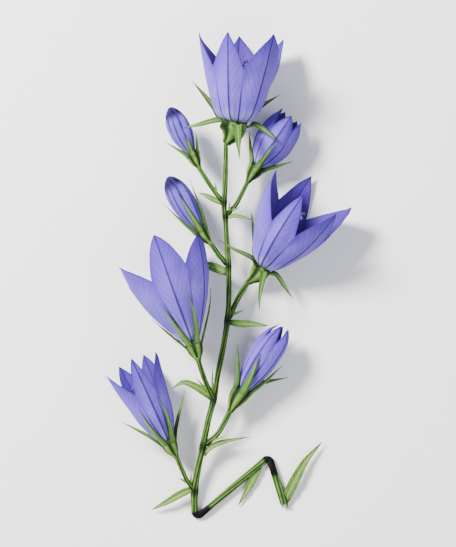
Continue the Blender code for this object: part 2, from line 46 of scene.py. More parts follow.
# A smooth value at x through the given (x, value) points
def smoothValue(points, x):
    if x <= points[0][0]:
        return points[0][1]
    if x >= points[-1][0]:
        return points[-1][1]
    slopes = [(b[1] - a[1]) / (b[0] - a[0]) for a, b in zip(points, points[1:])]
    inner = [(a + b) / 2 if a * b > 0 else 0.0 for a, b in zip(slopes, slopes[1:])]
    bends = [slopes[0]] + inner + [slopes[-1]]
    for i, (a, b) in enumerate(zip(points, points[1:])):
        if x <= b[0]:
            h = b[0] - a[0]
            t = (x - a[0]) / h
            return (a[1] * (1 + 2 * t) * (1 - t) ** 2 + b[1] * t * t * (3 - 2 * t)
                    + h * bends[i] * t * (1 - t) ** 2 - h * bends[i + 1] * t * t * (1 - t))


# A smooth line through the points, with the given number of steps between two of them
def smoothLine(points, steps):
    points = [Vector(p) for p in points]
    padded = [2 * points[0] - points[1]] + points + [2 * points[-1] - points[-2]]
    line = []
    for a, b, c, d in zip(padded, padded[1:], padded[2:], padded[3:]):
        for k in range(steps):
            t = k / steps
            line.append(0.5 * (2 * b + (c - a) * t + (2 * a - 5 * b + 4 * c - d) * t * t
                               + (3 * b - a - 3 * c + d) * t ** 3))
    return line + [points[-1]]


# The corners of a broken line rounded to arcs
def roundedLine(corners, radius, steps):
    corners = [Vector(c) for c in corners]
    line = [corners[0]]
    for a, b, c in zip(corners, corners[1:], corners[2:]):
        back = (a - b).normalized()
        on = (c - b).normalized()
        half = back.angle(on) / 2
        centre = b + (back + on).normalized() * radius / math.sin(half)
        start = b + back * radius / math.tan(half)
        side = (start - centre).normalized()
        turn = math.pi - 2 * half
        for k in range(steps + 1):
            angle = turn * k / steps
            line.append(centre + radius * (side * math.cos(angle) - back * math.sin(angle)))
    return line + [corners[-1]]


def directions(line):
    ends = [line[1] - line[0]] + [b - a for a, b in zip(line, line[2:])] + [line[-1] - line[-2]]
    return [e.normalized() for e in ends]


def lengthsAlong(line):
    total = 0.0
    lengths = [0.0]
    for a, b in zip(line, line[1:]):
        total += (b - a).length
        lengths.append(total)
    return lengths


def placeAt(line, share):
    lengths = lengthsAlong(line)
    wanted = lengths[-1] * share
    for a, b, low, top in zip(line, line[1:], lengths, lengths[1:]):
        if wanted <= top:
            return a.lerp(b, (wanted - low) / (top - low))
    return line[-1]


def smoothStep(low, top, value):
    t = min(1.0, max(0.0, (value - low) / (top - low)))
    return t * t * (3 - 2 * t)


# The share of the way at each of the points: 0 at the first one, 1 at the last
def sharesOf(points):
    return [k / (len(points) - 1) for k in range(len(points))]


# A plain mesh whose points carry what the trees need
class Guide:
    def __init__(self):
        self.points = []
        self.edges = []
        self.faces = []
        self.fields = {}

    def addFields(self, fields):
        for field, values in fields.items():
            self.fields.setdefault(field, []).extend(values)

    def addPoint(self, point, **fields):
        self.points.append(point)
        self.addFields({field: [value] for field, value in fields.items()})

    def addLine(self, line, **fields):
        first = len(self.points)
        self.points += line
        self.edges += [(first + i, first + i + 1) for i in range(len(line) - 1)]
        self.addFields(dict(centre=[p - middle for p in line], lengthMm=lengthsAlong(line), **fields))

    def mesh(self, name):
        made = bpy.data.meshes.new(name)
        made.from_pydata([p - middle for p in self.points], self.edges, self.faces)
        for field, values in self.fields.items():
            if isinstance(values[0], Vector):
                layer = made.attributes.new(field, "FLOAT_VECTOR", "POINT")
                layer.data.foreach_set("vector", [c for v in values for c in v])
            else:
                layer = made.attributes.new(field, "FLOAT", "POINT")
                layer.data.foreach_set("value", values)
        return made


# A value in a node tree. Sums and products of values put the Math nodes in
class Value:
    def __init__(self, socket):
        self.socket = socket
        self.tree = socket.id_data

    def isVector(self):
        return self.socket.type == "VECTOR"

    def __add__(self, other):
        return combine("ADD", self, other)

    def __sub__(self, other):
        return combine("SUBTRACT", self, other)

    def __rsub__(self, other):
        return calc("SUBTRACT", other, self)

    def __mul__(self, other):
        alike = isinstance(other, Value) and other.isVector() == self.isVector()
        return combine("MULTIPLY" if alike or not self.isVector() else "SCALE", self, other)

    def __truediv__(self, other):
        return calc("DIVIDE", self, other)

    def __rtruediv__(self, other):
        return calc("DIVIDE", other, self)

    def __abs__(self):
        return calc("ABSOLUTE", self)


def join(value, socket):
    if isinstance(value, Value):
        value.tree.links.new(value.socket, socket)
    else:
        socket.default_value = value


def addNode(tree, kind, inputs=None, **settings):
    made = tree.nodes.new(kind)
    for key, value in settings.items():
        setattr(made, key, value)
    for key, value in (inputs or {}).items():
        join(value, made.inputs[key])
    return made


# One output of a new node, with its inputs set to numbers or joined to other values
def put(tree, kind, inputs=None, output=0, **settings):
    return Value(addNode(tree, kind, inputs, **settings).outputs[output])


def valuesOf(sockets):
    return {socket.name: Value(socket) for socket in sockets}


def calc(operation, *parts):
    tree = next(part.tree for part in parts if isinstance(part, Value))
    return put(tree, "ShaderNodeMath", dict(enumerate(parts)), operation=operation)


def combine(operation, a, b):
    if not a.isVector():
        return calc(operation, a, b)
    return put(a.tree, "ShaderNodeVectorMath", {0: a, "Scale" if operation == "SCALE" else 1: b},
               operation=operation)


def vector(x=0.0, y=0.0, z=0.0):
    tree = next(part.tree for part in (x, y, z) if isinstance(part, Value))
    return put(tree, "ShaderNodeCombineXYZ", {0: x, 1: y, 2: z})


def split(place):
    return [Value(socket) for socket in addNode(place.tree, "ShaderNodeSeparateXYZ", {0: place}).outputs]


def ramp(value, low, top, start=0.0, end=1.0):
    inputs = {"Value": value, "From Min": low, "From Max": top, "To Min": start, "To Max": end}
    return put(value.tree, "ShaderNodeMapRange", inputs, interpolation_type="SMOOTHSTEP")


# exp(-(distance / width) squared): 1 on a line, 0 away from it
def lineMask(distance, width):
    share = distance / width
    return calc("EXPONENT", share * share * -1.0)


def noiseValue(place, scale, detail=2.0, roughness=0.5):
    inputs = {"Vector": place, "Scale": scale, "Detail": detail, "Roughness": roughness}
    return put(place.tree, "ShaderNodeTexNoise", inputs, "Fac")


def newTree(name, kind, inputs, outputs):
    tree = bpy.data.node_groups.new(name, kind)
    for label, socket, value in inputs:
        made = tree.interface.new_socket(label, in_out="INPUT", socket_type="NodeSocket" + socket)
        if value is not None:
            made.default_value = value
    for label, socket in outputs:
        tree.interface.new_socket(label, in_out="OUTPUT", socket_type="NodeSocket" + socket)
    given = valuesOf(tree.nodes.new("NodeGroupInput").outputs)
    return tree, given, tree.nodes.new("NodeGroupOutput").inputs


def newShapeTree(name, inputs):
    inputs = [("Guide", "Geometry", None)] + inputs + [("Surface", "Material", None)]
    return newTree(name, "GeometryNodeTree", inputs, [("Shape", "Geometry")])


def field(tree, name, kind="FLOAT"):
    return put(tree, "GeometryNodeInputNamedAttribute", {"Name": name}, "Attribute", data_type=kind)


def fields(tree, *names, kind="FLOAT"):
    return [field(tree, name, kind) for name in names]


def move(shape, place):
    return put(shape.tree, "GeometryNodeSetPosition", {0: shape, "Position": place})


def store(shape, name, value, domain="POINT"):
    return put(shape.tree, "GeometryNodeStoreNamedAttribute", {0: shape, "Name": name, "Value": value},
               data_type="FLOAT", domain=domain)


def finishTree(shape, given, result):
    shape = put(shape.tree, "GeometryNodeSetShadeSmooth", {0: shape})
    shape = put(shape.tree, "GeometryNodeRealizeInstances", {0: shape})
    shape = put(shape.tree, "GeometryNodeSetMaterial", {0: shape, "Material": given["Surface"]})
    join(shape, result["Shape"])
    return shape.tree


# A ribbed tube along each guide line, as thick as its points say, pressed flat where they say so
def ribbedTubeTree():
    tree, given, result = newShapeTree("Ribbed Tube", [
        ("Sides", "Int", 30), ("Ribs", "Int", 5), ("Rib Depth", "Float", 0.08),
        ("Unevenness", "Float", 0.03), ("Uneven Size", "Float", 0.5)])
    spread = 0.4     # how much wider a fully pressed tube gets
    place = put(tree, "GeometryNodeInputPosition")
    x, y = split(place)[:2]
    rib = calc("COSINE", calc("ARCTAN2", y, x) * given["Ribs"])
    ring = put(tree, "GeometryNodeCurvePrimitiveCircle", {"Resolution": given["Sides"], "Radius": 1.0})
    ring = move(ring, place * calc("MULTIPLY_ADD", rib, given["Rib Depth"], 1.0))
    ring = store(ring, "ridge", rib)
    girth, flat = fields(tree, "girth", "flat")
    side, centre = fields(tree, "side", "centre", kind="FLOAT_VECTOR")
    line = put(tree, "GeometryNodeMeshToCurve", {0: given["Guide"]})
    line = put(tree, "GeometryNodeSetCurveNormal", {0: line, "Normal": side}, mode="FREE")
    shape = put(tree, "GeometryNodeCurveToMesh", {0: line, 1: ring, "Scale": girth, "Fill Caps": True})
    # the wall sways in and out a little, and sinks where the tube is pressed flat
    noise = noiseValue(place, given["Uneven Size"])
    sway = calc("MULTIPLY_ADD", noise - 0.5, given["Unevenness"] * 2.0, 1.0)
    wide = calc("MULTIPLY_ADD", flat, spread, 1.0)
    offset = (place - centre) * sway * vector(wide, wide, 1.0 - flat)
    sink = flat * girth * -1.0
    return finishTree(move(shape, centre + (offset + vector(z=sink))), given, result)


# Widths in millimetres. Thin and thick are shares of the thickness, for the narrow and the wide parts
bladeForm = dict(thinWidth=0.1, thickWidth=0.9, thin=0.15, thick=0.5, trough=0.4, ribWidth=0.22, ribStart=0.3,
                 ribFull=1.4, waveLag=0.9)


# A thin pointed blade along each guide line: channelled, with a midrib, edges that wave and a lens section
def channelledBladeTree():
    form = bladeForm
    tree, given, result = newShapeTree("Channelled Blade", [
        ("Sides", "Int", 22), ("Thickness", "Float", 0.3), ("Channel", "Float", 0.16),
        ("Midrib", "Float", 0.12), ("Edge Wave", "Float", 0.1), ("Wave Length", "Float", 3.0)])
    guideScale = 0.1     # only holds the ring open until its points are moved
    x, y = split(put(tree, "GeometryNodeInputPosition"))[:2]
    ring = put(tree, "GeometryNodeCurvePrimitiveCircle", {"Resolution": given["Sides"], "Radius": 1.0})
    ring = store(store(ring, "across", x), "level", y)
    line = put(tree, "GeometryNodeMeshToCurve", {0: given["Guide"]})
    shape = put(tree, "GeometryNodeCurveToMesh", {0: line, 1: ring, "Scale": guideScale, "Fill Caps": True})
    across, level, width, length = fields(tree, "across", "level", "width", "lengthMm")
    side, face, centre = fields(tree, "side", "face", "centre", kind="FLOAT_VECTOR")
    beside = abs(across)
    thickness = ramp(width, form["thinWidth"], form["thickWidth"], form["thin"], form["thick"])
    lens = level * (given["Thickness"] * thickness)
    bend = (beside - form["trough"]) * (width * given["Channel"])
    rib = lineMask(across * width, form["ribWidth"]) * given["Midrib"]
    rib = rib * ramp(width, form["ribStart"], form["ribFull"])
    phase = length * math.tau / given["Wave Length"]
    wave = calc("SINE", calc("MULTIPLY_ADD", across, form["waveLag"], phase))
    wave = wave * (beside * beside) * (width * given["Edge Wave"])
    offset = side * (across * width * 0.5) + face * (lens + (bend + (wave + rib)))
    return finishTree(move(shape, centre + offset), given, result)


# Starts and ends are shares of the way from a petal's base to its edge
petalForm = dict(ribEnd=0.8, curlStart=0.6, rippleStart=0.3, rippleBase=0.6, rippleEdge=3.0, wallBase=1.3,
                 wallEdge=0.7, weld=0.001)


# A petal tube: the guide's sheet is wrapped round the bloom's axis, with raised midribs, edges that curl and
# ripple, and a thin wall
def petalTubeTree():
    form = petalForm
    tree, given, result = newShapeTree("Petal Tube", [
        ("Base", "Vector", None), ("Axis", "Vector", None), ("Upper Side", "Vector", None),
        ("Right Side", "Vector", None), ("Midrib Height", "Float", 0.15), ("Midrib Width", "Float", 0.4),
        ("Edge Curl", "Float", 0.5), ("Ripple", "Float", 0.2), ("Ripple Size", "Float", 0.25),
        ("Wall", "Float", 0.3), ("Seed", "Float", 0.0)])
    azimuth, distance, radius, share, across, midrib = fields(
        tree, "azimuth", "distance", "radius", "share", "across", "midribMm")
    out = given["Upper Side"] * calc("COSINE", azimuth) + given["Right Side"] * calc("SINE", azimuth)
    spot = given["Base"] + given["Axis"] * distance + out * radius
    rib = lineMask(midrib, given["Midrib Width"]) * given["Midrib Height"] * ramp(share, 1.0, form["ribEnd"])
    curl = across * across * given["Edge Curl"] * ramp(share, form["curlStart"], 1.0)
    noise = put(tree, "ShaderNodeTexNoise",
                {"Vector": spot, "W": given["Seed"], "Scale": given["Ripple Size"], "Detail": 1.0}, "Fac",
                noise_dimensions="4D")
    stronger = ramp(share, form["rippleStart"], 1.0, form["rippleBase"], form["rippleEdge"])
    ripple = (noise - 0.5) * given["Ripple"] * stronger
    outer = move(given["Guide"], spot + out * (rib + (curl + ripple)))
    # the inner skin is the outer one moved in along its normals, less near the rim
    normal = put(tree, "GeometryNodeInputNormal", output="Normal")
    wall = given["Wall"] * ramp(share, 0.0, 1.0, -form["wallBase"], -form["wallEdge"])
    inner = put(tree, "GeometryNodeExtrudeMesh",
                {0: outer, "Offset": normal, "Offset Scale": wall, "Individual": False})
    inner = store(put(tree, "GeometryNodeFlipFaces", {0: inner}), "inside", 1.0, "FACE")
    both = tree.nodes.new("GeometryNodeJoinGeometry")
    for skin in (outer, inner):
        join(skin, both.inputs[0])
    shape = put(tree, "GeometryNodeMergeByDistance", {0: Value(both.outputs[0]), "Distance": form["weld"]})
    # nothing reaches below the table, which is at the height 0
    x, y, z = split(put(tree, "GeometryNodeInputPosition"))
    return finishTree(move(shape, vector(x, y, calc("MAXIMUM", z, 0.0))), given, result)


# Short hairs that stand on a surface, thickest where its "hairy" value is 1
def hairTree():
    tree, given, result = newShapeTree("Short Hairs", [
        ("Density", "Float", 20.0), ("Length", "Float", 0.3), ("Thickness", "Float", 0.025),
        ("Seed", "Int", 1)])
    lowSize, topSize, leaning = 0.5, 1.2, 0.5
    scatter = valuesOf(addNode(
        tree, "GeometryNodeDistributePointsOnFaces",
        {0: given["Guide"], "Density": given["Density"] * field(tree, "hairy"), "Seed": given["Seed"]},
        distribute_method="RANDOM").outputs)
    hair = put(tree, "GeometryNodeMeshCone",
               {"Vertices": 4, "Radius Top": 0.0, "Radius Bottom": given["Thickness"],
                "Depth": given["Length"]}, fill_type="NGON")
    size = put(tree, "FunctionNodeRandomValue", {2: lowSize, 3: topSize, "Seed": given["Seed"]}, 1,
               data_type="FLOAT")
    lean = put(tree, "FunctionNodeRandomValue", {0: [-leaning] * 3, 1: [leaning] * 3},
               data_type="FLOAT_VECTOR")
    aim = put(tree, "FunctionNodeAlignRotationToVector", {"Vector": scatter["Normal"] + lean}, axis="Z")
    shape = put(tree, "GeometryNodeInstanceOnPoints",
                {0: scatter["Points"], "Instance": hair, "Rotation": aim, "Scale": size})
    return finishTree(shape, given, result)


# The guide's mesh taken through a tree, in metres, as a plain mesh on an object at the origin
def grow(name, guide, tree, **values):
    scene = bpy.context.scene
    source = bpy.data.objects.new(name + "Guide", guide)
    scene.collection.objects.link(source)
    modifier = source.modifiers.new("Shape", "NODES")
    modifier.node_group = tree
    for item in tree.interface.items_tree:
        label = item.name.replace(" ", "")
        label = label[:1].lower() + label[1:]
        if item.in_out == "INPUT" and label in values:
            modifier[item.identifier] = values[label]
    depsgraph = bpy.context.evaluated_depsgraph_get()
    shape = bpy.data.meshes.new_from_object(
        source.evaluated_get(depsgraph), preserve_all_data_layers=True, depsgraph=depsgraph)
    bpy.data.objects.remove(source, do_unlink=True)
    shape.name = name
    shape.transform(Matrix.Scale(millimetre, 4))
    piece = bpy.data.objects.new(name, shape)
    scene.collection.objects.link(piece)
    return piece


trees = dict(tube=ribbedTubeTree(), blade=channelledBladeTree(), petals=petalTubeTree(), hairs=hairTree())
print("node trees ready:", ", ".join(tree.name for tree in trees.values()))


def mixColour(share, a, b):
    made = addNode(share.tree, "ShaderNodeMix", {0: share}, data_type="RGBA")
    for slot, colour in ((6, a), (7, b)):
        join(colour if isinstance(colour, Value) else (*colour, 1.0), made.inputs[slot])
    return Value(made.outputs[2])


# Each layer is a mask and the colour that it lets through
def paint(colour, *layers):
    for mask, over in layers:
        colour = mixColour(mask, colour, over)
    return colour


def pointValues(tree, *names):
    return [put(tree, "ShaderNodeAttribute", output="Fac", attribute_name=name) for name in names]


# The seam's and the base lines' widths are per width of the midrib, and the side veins' is a share of their
# spacing
veinShape = dict(wobble=0.12, tipWidth=0.55, seamWidth=0.8, lineWidth=1.6, bend=0.85, sideWobble=2.6,
                 sideWidth=0.075, netWidth=0.09, wobbleScale=350.0, grainScale=2500.0, grain=0.25)


# Petal veins: a midrib, a seam between two lobes, lines from the base, forked side veins and a fine net
def veinGroup():
    shape = veinShape
    tree, given, result = newTree(
        "Petal Veins", "ShaderNodeTree",
        [("Place", "Vector", None), ("Midrib Width", "Float", 0.3), ("Base Lines", "Float", 0.35),
         ("Side Spacing", "Float", 2.4), ("Side Slant", "Float", 2.4), ("Side Strength", "Float", 0.3),
         ("Net Size", "Float", 1.5), ("Net Strength", "Float", 0.12)],
        [("Veins", "Float"), ("Relief", "Float")])
    midrib, notch, length, share = pointValues(tree, "midribMm", "notchMm", "distance", "share")
    place = given["Place"]
    full = given["Midrib Width"]
    wobble = noiseValue(place, shape["wobbleScale"]) - 0.5
    # the midrib thins out towards the tip
    main = lineMask(calc("MULTIPLY_ADD", wobble, shape["wobble"], midrib),
                    full * ramp(share, 0.2, 1.0, 1.0, shape["tipWidth"]))
    seam = lineMask(notch, full * shape["seamWidth"]) * ramp(share, 0.95, 0.35)
    between = lineMask(abs(midrib - notch), full * shape["lineWidth"]) * ramp(share, 0.45, 0.15)
    between = between * given["Base Lines"]
    # side veins leave the midrib at a slant and bend forward
    bend = calc("POWER", calc("MAXIMUM", midrib, 0.001), shape["bend"]) * given["Side Slant"]
    phase = calc("MULTIPLY_ADD", wobble, shape["sideWobble"], length - bend) / given["Side Spacing"]
    side = lineMask(abs(calc("FRACT", phase) - 0.5), shape["sideWidth"]) * ramp(midrib, 0.1, 0.5)
    side = side * ramp(share, 0.15, 0.4) * given["Side Strength"]
    cells = {"Vector": place, "Scale": 1000.0 / given["Net Size"]}
    net = put(tree, "ShaderNodeTexVoronoi", cells, "Distance", feature="DISTANCE_TO_EDGE")
    net = ramp(net, shape["netWidth"], 0.0) * given["Net Strength"]
    veins = calc("MAXIMUM", calc("MAXIMUM", main, seam), calc("MAXIMUM", between, side))
    join(calc("MAXIMUM", veins, net), result["Veins"])
    grain = noiseValue(place, shape["grainScale"], 3.0)
    join(calc("MULTIPLY_ADD", grain, shape["grain"], veins), result["Relief"])
    return tree


# A cloud or a fleck begins at its low value of the noise and is full at its top value
skinForm = dict(cloudLow=0.3, cloudTop=0.7, fleckLow=0.58, fleckTop=0.72, grainScale=3200.0)


# Green skin: cloudy tone, small pale flecks and a fine grain
def skinGroup():
    form = skinForm
    tree, given, result = newTree(
        "Green Skin", "ShaderNodeTree",
        [("Place", "Vector", None), ("Cloud Size", "Float", 3.0), ("Fleck Size", "Float", 0.35),
         ("Fleck Amount", "Float", 0.35)],
        [("Tone", "Float"), ("Flecks", "Float"), ("Grain", "Float")])
    place = given["Place"]
    cloud = noiseValue(place, 1000.0 / given["Cloud Size"], 3.0, 0.6)
    join(ramp(cloud, form["cloudLow"], form["cloudTop"]), result["Tone"])
    fleck = noiseValue(place, 1000.0 / given["Fleck Size"], 1.0)
    join(ramp(fleck, form["fleckLow"], form["fleckTop"]) * given["Fleck Amount"], result["Flecks"])
    join(noiseValue(place, form["grainScale"], 3.0, 0.6), result["Grain"])
    return tree


groups = dict(veins=veinGroup(), skin=skinGroup())
softness = dict(radius=(1.0, 0.7, 0.6), depth=0.0008)     # how light spreads under every skin


def newMaterial(name, roughness, subsurface=0.0, gloss=0.2):
    made = bpy.data.materials.new(name)
    made.use_nodes = True
    tree = made.node_tree
    shader = tree.nodes["Principled BSDF"]
    for label, value in (("Roughness", roughness), ("Subsurface Weight", subsurface),
                         ("Subsurface Radius", softness["radius"]), ("Subsurface Scale", softness["depth"]),
                         ("Specular IOR Level", gloss)):
        shader.inputs[label].default_value = value
    return made, shader, put(tree, "ShaderNodeTexCoord", output="Object")


def useGroup(place, name):
    made = addNode(place.tree, "ShaderNodeGroup", node_tree=groups[name])
    join(place, made.inputs["Place"])
    return valuesOf(made.outputs)


def finishSkin(shader, colour, height, strength, depth, roughness=None):
    join(colour, shader.inputs["Base Color"])
    if roughness:
        join(roughness, shader.inputs["Roughness"])
    inputs = {"Strength": strength, "Distance": depth * millimetre, "Height": height}
    join(put(height.tree, "ShaderNodeBump", inputs, "Normal"), shader.inputs["Normal"])


petalSkin = dict(subsurface=0.15, gloss=0.12, cloudScale=160.0, cloudLow=0.35, cloudTop=0.75,
                 blushStrength=0.45, deepEnd=0.35, insideStart=0.8, roughnessDrift=0.12, bump=0.5,
                 bumpDepth=0.12)
openPetalLook = dict(
    name="openPetal", throat=(0.32, 0.33, 0.64), body=(0.135, 0.09, 0.50), tip=(0.085, 0.045, 0.40),
    vein=(0.012, 0.005, 0.10), edge=(0.022, 0.010, 0.15), blush=(0.20, 0.125, 0.56),
    inside=(0.065, 0.032, 0.29), deepInside=(0.028, 0.015, 0.14), edgeWidth=0.32, veinStrength=0.95,
    edgeStrength=0.9, roughness=0.72, throatEnd=0.22, tipStart=0.5, tipEnd=1.05)
budPetalLook = dict(
    openPetalLook, name="budPetal", throat=(0.24, 0.32, 0.24), body=(0.12, 0.08, 0.45),
    tip=(0.002, 0.001, 0.014), vein=(0.012, 0.005, 0.09), edge=(0.02, 0.009, 0.13), blush=(0.18, 0.11, 0.52),
    edgeWidth=0.3, veinStrength=0.85, roughness=0.64, throatEnd=0.3, tipStart=0.7, tipEnd=0.9)


def petalMaterial(look):
    skin = petalSkin
    made, shader, place = newMaterial(look["name"], look["roughness"], skin["subsurface"], skin["gloss"])
    share, within, toEdge = pointValues(place.tree, "share", "inside", "edgeMm")
    veins = useGroup(place, "veins")
    outer = mixColour(ramp(share, 0.0, look["throatEnd"]), look["throat"], look["body"])
    # the inner skin: a deeper violet, darker than the outer one as painted shade inside the bell, and darkest
    # towards the throat
    inner = mixColour(ramp(share, skin["deepEnd"], skin["insideStart"]), look["deepInside"], look["inside"])
    cloud = noiseValue(place, skin["cloudScale"], 3.0, 0.6)
    cloud = ramp(cloud, skin["cloudLow"], skin["cloudTop"])
    colour = paint(
        outer, (cloud * skin["blushStrength"], look["blush"]),
        (ramp(share, look["tipStart"], look["tipEnd"]), look["tip"]), (within, inner),
        (lineMask(toEdge, look["edgeWidth"]) * look["edgeStrength"], look["edge"]),
        (veins["Veins"] * look["veinStrength"], look["vein"]))
    drift = skin["roughnessDrift"]
    roughness = calc("MULTIPLY_ADD", cloud, drift, look["roughness"] - drift / 2)
    finishSkin(shader, colour, veins["Relief"], skin["bump"], skin["bumpDepth"], roughness)
    return made


ribbedSkin = dict(subsurface=0.05, gloss=0.1, grooveLow=-0.9, grooveTop=0.8, jointStrength=0.96, smooth=0.55,
                  rough=0.75, grainLow=0.2, grainTop=0.8, bump=0.4, bumpDepth=0.08)
stemLook = dict(
    name="stemSkin", ridge=(0.11, 0.22, 0.035), groove=(0.008, 0.025, 0.005), shade=(0.05, 0.12, 0.018),
    joint=(0.003, 0.006, 0.002), stain=(0.002, 0.0015, 0.001), fleck=(0.16, 0.27, 0.06))
ovaryLook = dict(
    name="ovarySkin", ridge=(0.15, 0.28, 0.05), groove=(0.006, 0.02, 0.004), shade=(0.06, 0.14, 0.02),
    joint=(0.014, 0.03, 0.009), stain=(0.006, 0.004, 0.003), fleck=(0.20, 0.33, 0.08))


# The skin of the stem, stalks and ovaries: pale ridges, painted shade in the grooves and near the joints, and
# crushed dark folds
def ribbedMaterial(look):
    known = ribbedSkin
    made, shader, place = newMaterial(look["name"], known["smooth"], known["subsurface"], known["gloss"])
    ridge, joint, stain = pointValues(place.tree, "ridge", "joint", "stain")
    skin = useGroup(place, "skin")
    colour = paint(look["ridge"], (skin["Tone"], look["shade"]), (skin["Flecks"], look["fleck"]))
    # painted shade darkens the grooves between the ribs
    colour = mixColour(ramp(ridge, known["grooveLow"], known["grooveTop"]), look["groove"], colour)
    # painted shade near the joints, then the crushed folds' stain
    colour = paint(colour, (joint * known["jointStrength"], look["joint"]), (stain, look["stain"]))
    roughness = ramp(skin["Grain"], known["grainLow"], known["grainTop"], known["smooth"], known["rough"])
    finishSkin(shader, colour, skin["Grain"], known["bump"], known["bumpDepth"], roughness)
    return made


bladeSkin = dict(subsurface=0.08, sideSlant=1.8, sideWidth=0.1, sideStrength=0.35, ribStart=0.25, ribFull=0.9,
                 ribStrength=0.8, edgeStrength=0.9, tipStart=0.82, rootStart=0.04, rootEnd=0.2, smooth=0.54,
                 rough=0.7, grain=0.4, bump=0.5, bumpDepth=0.1)
sepalLook = dict(
    name="sepalSkin", rib=(0.17, 0.30, 0.06), blade=(0.06, 0.145, 0.018), shade=(0.035, 0.09, 0.012),
    edge=(0.006, 0.02, 0.004), tip=(0.012, 0.03, 0.008), root=(0.01, 0.025, 0.006), ribWidth=0.17,
    edgeStart=0.7, veinSpacing=1.1)
leafLook = dict(
    sepalLook, name="leafSkin", rib=(0.24, 0.38, 0.10), blade=(0.09, 0.20, 0.025), shade=(0.05, 0.12, 0.018),
    tip=(0.02, 0.035, 0.01), ribWidth=0.16, edgeStart=0.76, veinSpacing=1.5)


# The skin of sepals, bracts and leaves: a pale midrib, slanting side veins, a dark edge and tip, and painted
# shade at the root
def bladeMaterial(look):
    known = bladeSkin
    made, shader, place = newMaterial(look["name"], known["smooth"], known["subsurface"])
    across, width, share, length = pointValues(place.tree, "across", "width", "share", "lengthMm")
    skin = useGroup(place, "skin")
    beside = abs(across)
    fromRib = beside * width * 0.5
    phase = (length - fromRib * known["sideSlant"]) / look["veinSpacing"]
    vein = lineMask(abs(calc("FRACT", phase) - 0.5), known["sideWidth"]) * known["sideStrength"]
    rib = lineMask(fromRib, look["ribWidth"]) * ramp(width, known["ribStart"], known["ribFull"])
    colour = paint(
        look["blade"], (skin["Tone"], look["shade"]), (vein, look["rib"]),
        (rib * known["ribStrength"], look["rib"]), (skin["Flecks"], look["rib"]),
        (ramp(beside, look["edgeStart"], 1.0) * known["edgeStrength"], look["edge"]),
        (ramp(share, known["tipStart"], 1.0), look["tip"]),
        # painted shade at each blade's root, where it grows out
        (ramp(share, known["rootEnd"], known["rootStart"]), look["root"]))
    roughness = ramp(skin["Tone"], 0.0, 1.0, known["smooth"], known["rough"])
    relief = calc("MULTIPLY_ADD", skin["Grain"], known["grain"], vein + rib)
    finishSkin(shader, colour, relief, known["bump"], known["bumpDepth"], roughness)
    return made


softSkin = dict(subsurface=0.15, gloss=0.1, driftLow=0.35, driftTop=0.65, grainScale=2500.0, bump=0.6)
softLooks = dict(
    style=dict(name="styleSkin", first=(0.08, 0.05, 0.20), second=(0.12, 0.09, 0.25), size=0.8,
               roughness=0.6, relief=0.05),
    stigma=dict(name="stigmaSkin", first=(0.10, 0.07, 0.18), second=(0.07, 0.045, 0.15), size=0.5,
                roughness=0.7, relief=0.06),
    filament=dict(name="filamentSkin", first=(0.86, 0.86, 0.74), second=(0.72, 0.78, 0.56), size=0.7,
                  roughness=0.6, relief=0.04),
    anther=dict(name="antherSkin", first=(0.80, 0.62, 0.20), second=(0.62, 0.42, 0.10), size=0.3,
                roughness=0.8, relief=0.08),
    disc=dict(name="nectarDisc", first=(0.72, 0.74, 0.28), second=(0.55, 0.62, 0.18), size=0.5,
              roughness=0.35, relief=0.05))


# Soft pieces inside the bells: one colour that drifts to another
def softMaterial(look):
    known = softSkin
    made, shader, place = newMaterial(look["name"], look["roughness"], known["subsurface"], known["gloss"])
    drift = noiseValue(place, 1000.0 / look["size"], 3.0, 0.6)
    drift = ramp(drift, known["driftLow"], known["driftTop"])
    grain = noiseValue(place, known["grainScale"] / look["size"], 3.0, 0.7)
    finishSkin(shader, mixColour(drift, look["first"], look["second"]), grain, known["bump"], look["relief"])
    return made


surfaces = dict(
    openPetal=petalMaterial(openPetalLook), budPetal=petalMaterial(budPetalLook),
    stem=ribbedMaterial(stemLook), ovary=ribbedMaterial(ovaryLook), sepal=bladeMaterial(sepalLook),
    leaf=bladeMaterial(leafLook),
    **{piece: softMaterial(look) for piece, look in softLooks.items()})
print("materials ready:", len(surfaces))


# Each bloom has its corolla's base, the direction it points (degrees from +X), its tilt up from the table
# and its outline as (distance from the base, radius). A bloom with rest lies on the table with its lowest
# lobe, any other has the height of its base. Azimuths go round the axis from the side that faces up, to the
# right as seen from above. Lobes and notches are (azimuth, distance), each lobe with the notch after it. A
# sepal is (azimuth of its root, azimuth of its tip, angle from the axis, length). An ovary with a shift has
# its top that far to the left of the axis. A bracteole is (share of the stalk's length, its tip).
topFlower = dict(
    node="top_flower", base=(2.35, 38.2), heading=85.4, tilt=3, rest=True, seed=1.0,
    bell=((0, 2.2), (0.9, 4.1), (4.5, 6.3), (9.0, 7.7), (13.6, 9.0), (18.0, 10.0), (21.8, 10.9)),
    lobes=((-20.5, 22.1), (40, 22.4), (118, 21.2), (186, 21.2), (270, 21.3)),
    notches=((4, 13.5), (85, 13.5), (155, 15.0), (209, 14.0), (310, 13.6)), lobePower=1.12,
    ovary=(-0.33, 32.9), ovaryRadius=3.0, ovaryShift=0.9,
    sepals=((2, 11, 162, 10.6), (84, 72, 122, 9.1), (160, 110, 41, 10.7), (234, 256, 41, 12.8),
            (304, 284, 109, 11.5)))
upperLeftBud = dict(
    node="upper_left_bud", base=(-8.9, 30.6), height=8.2, heading=115.7, tilt=2, roll=-28, seed=2.0,
    bud=((0, 1.0), (1.2, 1.5), (3.0, 2.15), (5.5, 2.7), (8.0, 2.7), (10.4, 2.1), (11.8, 1.3), (12.4, 0.7)),
    ovary=(-6.9, 26.65), ovaryRadius=1.5, stalk=((-0.85, 18.2), (-3.38, 21.2)), stalkRadius=0.55,
    bracteoles=((0.25, (-3.0, 23.3)),),
    sepals=((8, 12, 0, 6.1), (80, 82, 18, 5.7), (152, 150, 0, 5.5), (224, 215, 0, 5.5),
            (296, 274, 30, 6.9)))
